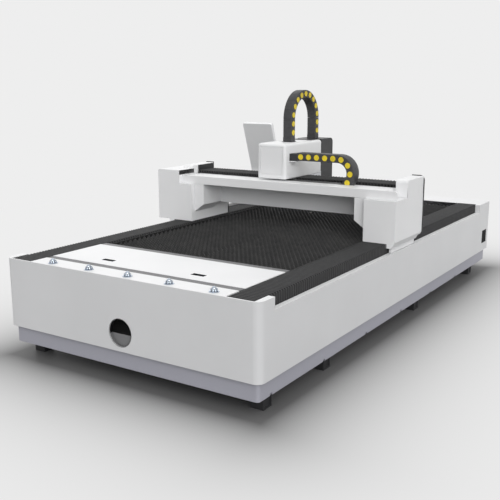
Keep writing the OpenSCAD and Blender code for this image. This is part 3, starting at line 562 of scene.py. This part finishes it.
def carriage_cover():
    """Pressed cover with round edges, a sunk front and the shelf under the chain's end."""
    low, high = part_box("carriage_cover")
    panel_low, panel_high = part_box("carriage_panel")
    right = panel_low.x + panel_high.x - low.x
    lip, sunk, draft = 0.003, 0.006, 0.0003
    upper_round, bottom_round, rim = 0.026, 0.010, 0.004
    bm = bmesh.new()
    add_block(bm, low, (right, high.y, high.z))

    def at_bottom(edge):
        return all(vert.co.z < low.z + WELD for vert in edge.verts)

    upper = [edge for edge in bm.edges if not at_bottom(edge)]
    bmesh.ops.bevel(bm, geom=upper, offset=upper_round, segments=6, profile=0.5,
                    affect="EDGES", material=-1)
    bottom = [edge for edge in bm.edges if at_bottom(edge)]
    bmesh.ops.bevel(bm, geom=bottom, offset=bottom_round, segments=3, profile=0.5,
                    affect="EDGES", material=-1)
    forward = [face for face in bm.faces if face.normal.y < -0.99]
    front = max(forward, key=lambda face: face.calc_area())
    bmesh.ops.inset_region(bm, faces=[front], thickness=rim)
    sides = (panel_low.x - lip, panel_high.x + lip)
    heights = (panel_low.z - lip, panel_high.z + lip)
    for vert in front.verts:
        vert.co.x = sides[vert.co.x > (low.x + right) / 2]
        vert.co.z = heights[vert.co.z > (low.z + high.z) / 2]
    bmesh.ops.inset_region(bm, faces=[front], thickness=draft, depth=-sunk)
    chain_low, chain_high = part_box("x_chain_upper")
    root, side_lap, shelf, under_chain = 0.01, 0.001, 0.006, 0.006
    add_block(bm, (right - root, chain_low.y - side_lap, chain_low.z - under_chain - shelf),
              (high.x, chain_high.y + side_lap, chain_low.z - under_chain))
    piece = to_piece("carriage_cover_pressed", bm, [GANTRY_WHITE])
    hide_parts("carriage_cover")
    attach(piece, "carriage")
    carriage_panel(panel_low, panel_high, sunk)


def carriage_panel(low, high, sunk):
    """Front panel with round corners that leaves a groove all round."""
    groove, corner, edge_round = 0.004, 0.014, 0.001
    bm = bmesh.new()
    add_block(bm, (low.x + groove, low.y, low.z + groove),
              (high.x - groove, low.y + sunk, high.z - groove))
    corners = [edge for edge in bm.edges
               if abs(edge.verts[0].co.y - edge.verts[1].co.y) > sunk / 2]
    bmesh.ops.bevel(bm, geom=corners, offset=corner, segments=5, profile=0.5,
                    affect="EDGES", material=-1)
    piece = to_piece("carriage_front_panel", bm, [GANTRY_WHITE])
    round_edges(piece, edge_round)
    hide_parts("carriage_panel")
    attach(piece, "carriage")


# Cutting bed

SLAT_GAP = 0.060
TOOTH = 0.041
TOOTH_HEIGHT = 0.020
SLAT_THICKNESS = 0.004


def slats():
    """Two rows of saw-toothed plates, each one strip with every other top point lowered."""
    low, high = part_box("slats")
    divider = 0.007
    length = high.x - CENTRE_X - divider
    teeth = round(length / TOOTH)
    rows = int((high.y - low.y) / SLAT_GAP)
    bm = bmesh.new()
    for side in (-1, 1):
        strip = bmesh.new()
        bmesh.ops.create_grid(strip, x_segments=2 * teeth, y_segments=1, size=0.5)
        bmesh.ops.scale(strip, verts=strip.verts, vec=(length, high.z - low.z, 1))
        upright = Matrix.Rotation(math.radians(90), 3, "X")
        bmesh.ops.rotate(strip, verts=strip.verts, matrix=upright)
        middle = CENTRE_X + side * (divider + length / 2)
        place = (middle, low.y, (low.z + high.z) / 2)
        bmesh.ops.translate(strip, verts=strip.verts, vec=place)
        left = middle - length / 2
        for vert in strip.verts:
            point = round((vert.co.x - left) / length * 2 * teeth)
            if vert.co.z > high.z - NEAR and point % 2 == 0:
                vert.co.z -= TOOTH_HEIGHT
        bmesh.ops.solidify(strip, geom=strip.faces[:], thickness=SLAT_THICKNESS)
        bmesh.ops.recalc_face_normals(strip, faces=strip.faces[:])
        plate = bpy.data.meshes.new("slat")
        strip.to_mesh(plate)
        strip.free()
        for row in range(rows + 1):
            before = len(bm.verts)
            bm.from_mesh(plate)
            bm.verts.ensure_lookup_table()
            bmesh.ops.translate(bm, verts=bm.verts[before:], vec=(0, row * SLAT_GAP, 0))
        bpy.data.meshes.remove(plate)
    piece = to_piece("toothed_slats", bm, [SLAT_STEEL])
    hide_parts("slats")
    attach(piece, "bed")


PETALS = 8
PETAL_SHARE = 0.74
BALLS = 5
BALL_PLAY = 0.0006
CUP_SHEET = 0.0012
FLANGE_HEIGHT = 0.005
FLANGE_GAP = 0.002
# Distance inside the flange's edge and height above the cover panel
FLANGE_EDGE = ((0.001, 0.0), (0.0, 0.001), (0.0, 0.003), (0.002, FLANGE_HEIGHT))
# Radius and height above the cover panel
PETAL_FOOT = ((0.0275, FLANGE_HEIGHT), (0.0265, 0.011), (0.0245, 0.018))
SEAT_FOOT = ((0.0245, 0.0052), (0.0230, 0.014))
# Radius and depth below the cup's top
PETAL_TIP = ((0.0215, 0.001), (0.0195, 0.0))
# Distance outside the mouth's edge and depth below the cup's top
SEAT_MOUTH = ((0.0015, 0.004), (0.0, 0.005))


def turned(bm, centre, profile, start, angle, steps):
    """Turns a profile of radius and height about an upright axis."""
    heading = Matrix.Rotation(start, 3, "Z")
    flat = Vector((centre.x, centre.y, 0))
    chain = [bm.verts.new(flat + heading @ Vector((radius, 0, z))) for radius, z in profile]
    edges = [bm.edges.new(pair) for pair in zip(chain, chain[1:])]
    full = abs(angle - 2 * math.pi) < FINE_WELD
    bmesh.ops.spin(bm, geom=chain + edges, cent=centre, axis=(0, 0, 1), angle=angle, steps=steps,
                   use_merge=full, dvec=(0, 0, 0))


def ball_units():
    """Flanged cups with upright petals round a seat painted black as painted shade in the gaps."""
    flange = (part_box("ball_cups")[1].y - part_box("ball_cups")[0].y) / 2
    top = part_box("ball_cups")[1].z
    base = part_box("cover_panel")[1].z
    mouth = (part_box("ball_1")[1].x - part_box("ball_1")[0].x) / 2 + BALL_PLAY
    rim = [(flange - inside, base + up) for inside, up in FLANGE_EDGE]
    rim += [(mouth + FLANGE_GAP, base + FLANGE_HEIGHT)]
    petal = [(radius, base + up) for radius, up in PETAL_FOOT]
    petal += [(radius, top - down) for radius, down in PETAL_TIP]
    seat = [(radius, base + up) for radius, up in SEAT_FOOT]
    seat += [(mouth + outside, top - down) for outside, down in SEAT_MOUTH]
    circle = 2 * math.pi
    bright, dark = bmesh.new(), bmesh.new()
    for index in range(1, BALLS + 1):
        centre = middle_of(f"ball_{index}")
        turned(bright, centre, rim, 0, circle, 32)
        for number in range(PETALS):
            heading = circle * number / PETALS
            turned(bright, centre, petal, heading, circle / PETALS * PETAL_SHARE, 4)
        # The seat is painted black as painted shade between the petals and round the ball
        turned(dark, centre, seat, 0, circle, 24)
    for name, bm, finish, slot in (("ball_unit_cups", bright, CHROME, "chrome"),
                                   ("ball_unit_seats", dark, LOUVRE_BLACK, "black_paint")):
        bmesh.ops.remove_doubles(bm, verts=bm.verts[:], dist=WELD)
        bmesh.ops.recalc_face_normals(bm, faces=bm.faces[:])
        piece = to_piece(name, bm, [finish])
        thicken(piece, CUP_SHEET)
        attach(piece, "bed")
        if bm is bright:
            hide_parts("ball_cups")


# Bellows

PLEAT = 0.030
FOLD = 0.020
RIDGE_SHARE = 0.22
CLOTH = 0.002
SIDE_CORNER = 0.012
SIDE_TOP_SHARE = 0.3
SIDE_SINK = 0.0005
SIDE_GAP = 0.001
BEAM_CORNER = 0.008
BEAM_TOP_SHARE = 0.6
BEAM_COVER_HEIGHT = 0.065
BEAM_COVER_GAP = 0.004
BEAM_COVER_BACK = 0.252
END_PLATE = 0.006
UNDER_LEG = 0.30
UNDER_CARRIAGE = 0.13
FOLD_LIMIT = 0.95


def blend_length(travel):
    """Length over which a smooth blend closes by a travel without folding back."""
    return 1.5 * travel / FOLD_LIMIT


def folded_cover(bm, outline, low, high):
    """Adds a pleated cover along Y, with narrow flat crests between its valleys.

    The outline gives x and z of each point and the direction in which it folds in.
    """
    pleats = max(2, round((high - low) / PLEAT))
    pitch = (high - low) / pleats
    crest = pitch * RIDGE_SHARE
    rows = []
    for index in range(pleats):
        start = low + (high - low) * index / pleats
        rows += [(start, 0.0), (start + crest, 0.0), (start + (crest + pitch) / 2, FOLD)]
    rows += [(high, 0.0)]
    across, along = len(outline) - 1, len(rows) - 1
    grid = bmesh.ops.create_grid(bm, x_segments=across, y_segments=along, size=0.5)["verts"]
    layer = bm.verts.layers.float.get(FOLD_DEPTH)
    for vert in grid:
        column = round((vert.co.x + 0.5) * across)
        row = round((vert.co.y + 0.5) * along)
        x, z, inward_x, inward_z = outline[column]
        y, depth = rows[row]
        vert.co = (x + inward_x * depth, y, z + inward_z * depth)
        # How deep the point lies in its fold, which also sets the cloth's painted shade
        vert[layer] = depth / FOLD


def new_cloth():
    """An empty mesh that keeps how deep in a fold each point lies."""
    bm = bmesh.new()
    bm.verts.layers.float.new(FOLD_DEPTH)
    return bm


def cover_outline(x0, x1, z0, z1, corner, top_share):
    """Section of a cover whose sides fold in deeper than its top."""
    return [(x0, z0, 1, 0), (x0, z1 - corner, 1, 0), (x0 + corner, z1, 0, -top_share),
            (x1 - corner, z1, 0, -top_share), (x1, z1 - corner, -1, 0), (x1, z0, -1, 0)]


def solid_cloth(bm):
    """Points a cover's top up and gives its cloth a thickness in the mesh."""
    bmesh.ops.recalc_face_normals(bm, faces=bm.faces[:])
    downward = [face for face in bm.faces if face.normal.z < -0.3]
    if len(downward) > len(bm.faces) / 4:
        bmesh.ops.reverse_faces(bm, faces=bm.faces[:])
    bmesh.ops.solidify(bm, geom=bm.faces[:], thickness=CLOTH)


def side_bellows(node, low_y, high_y):
    """Both side bellows of one end of the bed. They run on under the legs, where they hide."""
    low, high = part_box(node)
    width = (high.x - CENTRE_X) - (BED_HALF + SIDE_GAP)
    top = high.z - SIDE_SINK
    bm = new_cloth()
    for x0 in (low.x, high.x - width):
        outline = cover_outline(x0, x0 + width, low.z, top, SIDE_CORNER, SIDE_TOP_SHARE)
        folded_cover(bm, outline, low_y, high_y)
    solid_cloth(bm)
    piece = to_piece(node + "_folds", bm, [BELLOWS_CLOTH])
    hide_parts(node)
    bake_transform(piece)


def bed_bellows():
    low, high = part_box("front_bellows")
    side_bellows("front_bellows", low.y, high.y + UNDER_LEG)
    low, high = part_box("rear_bellows")
    side_bellows("rear_bellows", low.y - UNDER_LEG, high.y)


def beam_bellows(node, fixed_at_low):
    """One cover on the beam, from the plate at its hood to under the carriage."""
    low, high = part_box(node)
    tray_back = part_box("beam_tray")[1].y
    front, back = tray_back + BEAM_COVER_GAP, tray_back + BEAM_COVER_BACK
    inner = low.x + END_PLATE if fixed_at_low else high.x - END_PLATE
    far = high.x + UNDER_CARRIAGE if fixed_at_low else low.x - UNDER_CARRIAGE
    top = low.z + BEAM_COVER_HEIGHT
    bm = new_cloth()
    outline = cover_outline(-back, -front, low.z, top, BEAM_CORNER, BEAM_TOP_SHARE)
    folded_cover(bm, outline, min(inner, far), max(inner, far))
    turn = Matrix.Rotation(math.radians(-90), 3, "Z")
    bmesh.ops.rotate(bm, verts=bm.verts, matrix=turn)
    solid_cloth(bm)
    x0 = low.x if fixed_at_low else high.x - END_PLATE
    end_plate = add_block(bm, (x0, low.y, low.z), (x0 + END_PLATE, high.y, high.z))
    for face in faces_of(end_plate):
        face.material_index = 1
    piece = to_piece(node + "_folds", bm, [BELLOWS_CLOTH, FITTING_BLACK])
    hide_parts(node)
    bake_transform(piece)


# Drag chains

LINK = 0.080
LINK_HEIGHT = 0.070
LINK_GAP = 0.0012
LINK_ROUND = 0.005
CAP_RADIUS = 0.025
CAP_HEIGHT = 0.003
CAP_TAPER = 0.95
CORE_SHARE = 0.5
CORE_LAP = 0.004
LOWER_CORE = 0.06
# How far the core of an upper run reaches past its moving end, as a share of the travel
CORE_REACH = 0.07 / 0.74


def link_profile(bm, width):
    """Rounded rectangle in Y and Z at the start of a link."""
    place = Matrix.Rotation(math.radians(90), 4, "Y") @ Matrix.Diagonal((LINK_HEIGHT, width, 1, 1))
    verts = bmesh.ops.create_grid(bm, x_segments=1, y_segments=1, size=0.5, matrix=place)["verts"]
    rounded = bmesh.ops.bevel(bm, geom=verts, offset=LINK_ROUND, segments=3, profile=0.5,
                              affect="VERTICES", material=-1)
    return rounded["faces"][0] if rounded["faces"] else faces_of(rounded["verts"])[0]


def pivot_caps(bm, place, width):
    """A turned cap with a slight taper on each side of a link."""
    for side in (-1, 1):
        beside = Matrix.Translation((0, side * (width / 2 + CAP_HEIGHT / 2), 0))
        outwards = Matrix.Rotation(math.radians(90 * side), 4, "X")
        cap = bmesh.ops.create_cone(bm, cap_ends=True, segments=24, radius1=CAP_RADIUS,
                                    radius2=CAP_RADIUS * CAP_TAPER, depth=CAP_HEIGHT,
                                    matrix=place @ beside @ outwards)["verts"]
        for face in faces_of(cap):
            face.material_index = 1


def straight_link(bm, place, width):
    """One link along X from the place given."""
    link = bmesh.new()
    face = link_profile(link, width)
    out = bmesh.ops.extrude_face_region(link, geom=[face])["geom"]
    moved = [part for part in out if isinstance(part, bmesh.types.BMVert)]
    bmesh.ops.translate(link, verts=moved, vec=(LINK - LINK_GAP, 0, 0))
    bmesh.ops.recalc_face_normals(link, faces=link.faces[:])
    join(bm, link, place)
    pivot_caps(bm, place @ Matrix.Translation((LINK / 2, 0, 0)), width)


def along_bend(radius, angle):
    """The turn about a bend's centre, which lies under its start."""
    return (Matrix.Translation((0, 0, -radius)) @ Matrix.Rotation(angle, 4, "Y")
            @ Matrix.Translation((0, 0, radius)))


def curved_link(bm, place, radius, turn, width):
    """One link of a bend: starts along X at the place given and turns down towards -Z."""
    link = bmesh.new()
    face = link_profile(link, width)
    whole = link.verts[:] + link.edges[:] + [face]
    gap = LINK_GAP / radius
    bmesh.ops.spin(link, geom=whole, cent=(0, 0, -radius), axis=(0, 1, 0), angle=turn - gap,
                   steps=5, dvec=(0, 0, 0))
    bmesh.ops.remove_doubles(link, verts=link.verts[:], dist=FINE_WELD)
    bmesh.ops.recalc_face_normals(link, faces=link.faces[:])
    join(bm, link, place)
    pivot_caps(bm, place @ along_bend(radius, turn / 2), width)


def join(bm, part, place):
    """Adds a part to a mesh at a place, and frees the part."""
    mesh = bpy.data.meshes.new("part")
    part.to_mesh(mesh)
    part.free()
    mesh.transform(place)
    bm.from_mesh(mesh)
    bpy.data.meshes.remove(mesh)


def chain_run(bm, start, direction_turn, links, width, before=0.0, after=0.0):
    """A straight run of links round a slim core that may reach past its ends."""
    core = bmesh.new()
    half = CORE_SHARE * width / 2, CORE_SHARE * LINK_HEIGHT / 2
    end = links * LINK - LINK_GAP + after
    add_block(core, (LINK_GAP - before, -half[0], -half[1]), (end, *half))
    head = Matrix.Translation(start) @ direction_turn
    join(bm, core, head)
    for index in range(links):
        straight_link(bm, head @ Matrix.Translation((index * LINK, 0, 0)), width)


def chain_arc(bm, start, direction_turn, radius, width):
    """A half circle of links round a slim core."""
    links = round(math.pi * radius / LINK)
    turn = math.pi / links
    core = bmesh.new()
    face = link_profile(core, width * CORE_SHARE)
    bmesh.ops.scale(core, verts=core.verts, vec=(1, 1, CORE_SHARE))
    bmesh.ops.spin(core, geom=core.verts[:] + core.edges[:] + [face], cent=(0, 0, -radius),
                   axis=(0, 1, 0), angle=math.pi, steps=4 * links, dvec=(0, 0, 0))
    bmesh.ops.remove_doubles(core, verts=core.verts[:], dist=FINE_WELD)
    bmesh.ops.recalc_face_normals(core, faces=core.faces[:])
    head = Matrix.Translation(start) @ direction_turn
    join(bm, core, head)
    for index in range(links):
        curved_link(bm, head @ along_bend(radius, turn * index), radius, turn, width)


def chain_piece(name, bm, node):
    piece = to_piece(name, bm, [CHAIN_PLASTIC, CAP_YELLOW])
    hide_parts(node)
    return piece


def middle_of(node):
    low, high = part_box(node)
    return (low + high) / 2


def long_chain(axis, upper, bend, lower, travel):
    """Upper run, bend and lower run of a chain along X or Y, between two bodies."""
    upper_low, upper_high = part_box(upper)
    bend_low, bend_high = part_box(bend)
    lower_low, lower_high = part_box(lower)
    turn = Matrix.Identity(4) if axis == 0 else Matrix.Rotation(math.radians(90), 4, "Z")
    across = 1 - axis
    width = upper_high[across] - upper_low[across] - 2 * CAP_HEIGHT
    centre = middle_of(upper)
    radius = (bend_high.z - bend_low.z - LINK_HEIGHT) / 2
    start = centre.copy()
    start[axis] = upper_low[axis]
    links = round((upper_high[axis] - upper_low[axis]) / LINK)
    bm = bmesh.new()
    chain_run(bm, start, turn, links, width, before=CORE_REACH * travel)
    run = chain_piece(upper + "_links", bm, upper)
    tangent = upper_high[axis]
    half = max(tangent - upper_low[axis], blend_length(travel) / 2)
    bind(run, axis, tangent + half, tangent - half)

    start[axis] = tangent
    bm = bmesh.new()
    chain_arc(bm, start, turn, radius, width)
    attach(chain_piece(bend + "_links", bm, bend), bend)

    start = middle_of(lower)
    start[axis] = lower_low[axis]
    links = round((lower_high[axis] - lower_low[axis]) / LINK)
    bm = bmesh.new()
    chain_run(bm, start, turn, links, width, after=LOWER_CORE)
    run = chain_piece(lower + "_links", bm, lower)
    reach = max(lower_high[axis] - lower_low[axis], blend_length(travel / 2))
    bind(run, axis, lower_low[axis], lower_low[axis] + reach)


def bind(piece, axis, start, end):
    """Bakes a straight run's place into its mesh; the points where it would start and end along one
    axis are worked out but not used.
    """
    start_point, end_point = Vector((0, 0, 0)), Vector((0, 0, 0))
    start_point[axis], end_point[axis] = start, end
    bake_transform(piece)


def lift_chain():
    """Arch from the carriage's top to the lift unit."""
    low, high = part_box("z_chain")
    width = high.x - low.x - 2 * CAP_HEIGHT
    radius = (high.y - low.y - LINK_HEIGHT) / 2
    crown = high.z - LINK_HEIGHT / 2
    leg = crown - radius - low.z
    front = Vector(((low.x + high.x) / 2, low.y + LINK_HEIGHT / 2, low.z))
    rear = Vector((front.x, high.y - LINK_HEIGHT / 2, low.z))
    upright = Matrix.Rotation(math.radians(90), 4, "Z") @ Matrix.Rotation(math.radians(-90), 4, "Y")
    bm = bmesh.new()
    whole = int(leg / LINK)
    spare = leg - whole * LINK
    for foot in (front, rear):
        add_block(bm, (foot.x - width / 2, foot.y - LINK_HEIGHT / 2, low.z),
                  (foot.x + width / 2, foot.y + LINK_HEIGHT / 2, low.z + spare - LINK_GAP))
        chain_run(bm, foot + Vector((0, 0, spare)), upright, whole, width, after=CORE_LAP)
    chain_arc(bm, front + Vector((0, 0, leg)), upright, radius, width)
    piece = chain_piece("z_chain_links", bm, "z_chain")
    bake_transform(piece)


# Plain nodes that keep their CAD shape

def finish_nodes():
    finishes = {
        CHROME: ["ball_1", "ball_2", "ball_3", "ball_4", "ball_5"],
        NOZZLE_METAL: ["nozzle"],
        RAIL_STEEL: ["y_rails", "y_racks", "bearing_blocks", "x_rails", "x_rack", "x_saddle",
                     "pinion_left", "pinion_right", "cutting_head"],
        FRAME_GREY: ["bed_frame", "saddles"],
        LOUVRE_BLACK: ["vent_grille"],
        COLLAR_BLACK: ["duct_collar"],
        TRAY_GREY: ["slag_tray"],
        FITTING_BLACK: ["y_motors"],
        DIVIDER_STEEL: ["slat_frame"],
        DISPLAY: ["console_screen"],
        STOP_RED: ["e_stop"],
        START_GREEN: ["start_button"],
    }
    for finish, nodes in finishes.items():
        for node in nodes:
            materials = frame["nodes"][node].data.materials
            materials.clear()
            materials.append(finish)


# Floor, light and camera

BACKDROP = (0.855, 0.855, 0.855, 1)
# The floor is dark, and its fade to the backdrop leaves a painted shadow round the casing
FLOOR_DARK, FLOOR_LIGHT = (0.155, 0.155, 0.155), (0.165, 0.165, 0.165)
FLOOR_FADE = 0.50
FLOOR_RADIUS = 60
SKY_FOOT, SKY_FULL, SKY_STRENGTH = 0.02, 0.30, 0.87
# Name, direction towards the lamp, strength and angular size in degrees
LAMPS = (("front_right", (0.66, -0.60, 0.31), 1.4, 44),
         ("back_left", (-0.60, 0.60, 0.45), 0.35, 50))
CAMERA_PLACE = (CENTRE_X + 3.48698, -6.13502, 2.0662)
CAMERA_BACK = (0.53305, -0.81857, 0.21403)
CAMERA_ROLL = math.radians(-0.12)
CAMERA_LENS, CAMERA_SENSOR, CAMERA_SIGHT = 54.46, 36, 200


def seen_directly(nodes, links):
    """Rays that show the backdrop: from the camera, in reflections and through glass."""
    path = nodes.new("ShaderNodeLightPath")
    shown = path.outputs["Is Camera Ray"]
    for ray in ("Is Glossy Ray", "Is Transmission Ray"):
        either = nodes.new("ShaderNodeMath")
        either.operation = "MAXIMUM"
        links.new(shown, either.inputs[0])
        links.new(path.outputs[ray], either.inputs[1])
        shown = either.outputs["Value"]
    return shown


def away_from_casing(nodes, links):
    """How far a point of the floor lies outside the casing's footprint."""
    place = nodes.new("ShaderNodeTexCoord")
    point = place.outputs["Object"]
    half = (CASING_HIGH - CASING_LOW) / 2
    for operation, other in (("SUBTRACT", (CENTRE_X, 0, 0)), ("ABSOLUTE", None),
                             ("SUBTRACT", (half.x, half.y, 0)), ("MAXIMUM", (0, 0, 0))):
        step = nodes.new("ShaderNodeVectorMath")
        step.operation = operation
        links.new(point, step.inputs[0])
        if other:
            step.inputs[1].default_value = other
        point = step.outputs["Vector"]
    distance = nodes.new("ShaderNodeVectorMath")
    distance.operation = "LENGTH"
    links.new(point, distance.inputs[0])
    return distance.outputs["Value"]


def floor_with_painted_shadow():
    """Dark matt floor that runs into the pale backdrop away from the machine, a painted shadow
    round the casing.
    """
    bm = bmesh.new()
    bmesh.ops.create_circle(bm, cap_ends=True, segments=96, radius=FLOOR_RADIUS)
    mesh = bpy.data.meshes.new("floor")
    bm.to_mesh(mesh)
    bm.free()
    floor = bpy.data.objects.new("floor", mesh)
    bpy.context.collection.objects.link(floor)
    finish, nodes, links, shader = new_finish("floor_with_painted_shadow")
    tone = two_tones(nodes, links, spread(nodes, links, scale=0.4), FLOOR_DARK, FLOOR_LIGHT)
    links.new(tone, shader.inputs["Base Color"])
    shader.inputs["Roughness"].default_value = 0.5
    shader.inputs["Specular IOR Level"].default_value = 0.08
    # Painted shadow: to the camera and in reflections the floor stays dark by the casing and fades
    # to the backdrop further away
    far = away_from_casing(nodes, links)
    for operation, value in (("DIVIDE", -FLOOR_FADE), ("EXPONENT", None), ("SUBTRACT", 1.0)):
        step = nodes.new("ShaderNodeMath")
        step.operation = operation
        first = 1 if operation == "SUBTRACT" else 0
        links.new(far, step.inputs[first])
        if value:
            step.inputs[1 - first].default_value = value
        far = step.outputs["Value"]
    where = nodes.new("ShaderNodeMath")
    where.operation = "MULTIPLY"
    links.new(far, where.inputs[0])
    links.new(seen_directly(nodes, links), where.inputs[1])
    backdrop = nodes.new("ShaderNodeEmission")
    backdrop.inputs["Color"].default_value = BACKDROP
    both = nodes.new("ShaderNodeMixShader")
    links.new(where.outputs["Value"], both.inputs["Fac"])
    links.new(shader.outputs["BSDF"], both.inputs[1])
    links.new(backdrop.outputs["Emission"], both.inputs[2])
    links.new(both.outputs["Shader"], nodes["Material Output"].inputs["Surface"])
    mesh.materials.append(finish)


def studio_light():
    """Even light from above, a soft lamp at the front right and a weak one behind at the left."""
    world = bpy.context.scene.world or bpy.data.worlds.new("studio")
    bpy.context.scene.world = world
    world.use_nodes = True
    nodes, links = world.node_tree.nodes, world.node_tree.links
    light = nodes["Background"]
    light.inputs["Color"].default_value = (1, 1, 1, 1)
    heading = nodes.new("ShaderNodeTexCoord")
    split = nodes.new("ShaderNodeSeparateXYZ")
    height = nodes.new("ShaderNodeMapRange")
    height.interpolation_type = "SMOOTHSTEP"
    height.inputs["From Min"].default_value = SKY_FOOT
    height.inputs["From Max"].default_value = SKY_FULL
    height.inputs["To Min"].default_value = 0.0
    height.inputs["To Max"].default_value = SKY_STRENGTH
    links.new(heading.outputs["Generated"], split.inputs["Vector"])
    links.new(split.outputs["Z"], height.inputs["Value"])
    links.new(height.outputs["Result"], light.inputs["Strength"])
    backdrop = nodes.new("ShaderNodeBackground")
    backdrop.inputs["Color"].default_value = BACKDROP
    either = nodes.new("ShaderNodeMixShader")
    links.new(seen_directly(nodes, links), either.inputs["Fac"])
    links.new(light.outputs["Background"], either.inputs[1])
    links.new(backdrop.outputs["Background"], either.inputs[2])
    links.new(either.outputs["Shader"], nodes["World Output"].inputs["Surface"])
    for name, towards, energy, size in LAMPS:
        lamp = bpy.data.lights.new(name, "SUN")
        lamp.energy = energy
        lamp.angle = math.radians(size)
        holder = bpy.data.objects.new(name, lamp)
        holder.rotation_mode = "QUATERNION"
        holder.rotation_quaternion = Vector(towards).to_track_quat("Z", "Y")
        bpy.context.collection.objects.link(holder)


def photo_camera():
    """Camera at the angle of the photograph, found from the casing's edges."""
    camera = bpy.data.cameras.new("photo_camera")
    camera.sensor_width = CAMERA_SENSOR
    camera.lens = CAMERA_LENS
    camera.clip_end = CAMERA_SIGHT
    eye = bpy.data.objects.new("photo_camera", camera)
    eye.location = CAMERA_PLACE
    eye.rotation_mode = "QUATERNION"
    level = (-Vector(CAMERA_BACK)).to_track_quat("-Z", "Y")
    eye.rotation_quaternion = level @ Quaternion((0, 0, 1), CAMERA_ROLL)
    bpy.context.collection.objects.link(eye)
    bpy.context.scene.camera = eye
    bpy.context.scene.view_settings.view_transform = "Standard"


sheet_metal()
casing()
carriage_cover()
slats()
ball_units()
bed_bellows()
beam_bellows("beam_bellows_left", True)
beam_bellows("beam_bellows_right", False)
long_chain(0, "x_chain_upper", "x_chain_bend", "x_chain_lower",
           -RANGE["x_axis"][0])
long_chain(1, "y_chain_upper", "y_chain_bend", "y_chain_lower",
           -RANGE["y_axis"][0])
lift_chain()
finish_nodes()
floor_with_painted_shadow()
studio_light()
photo_camera()
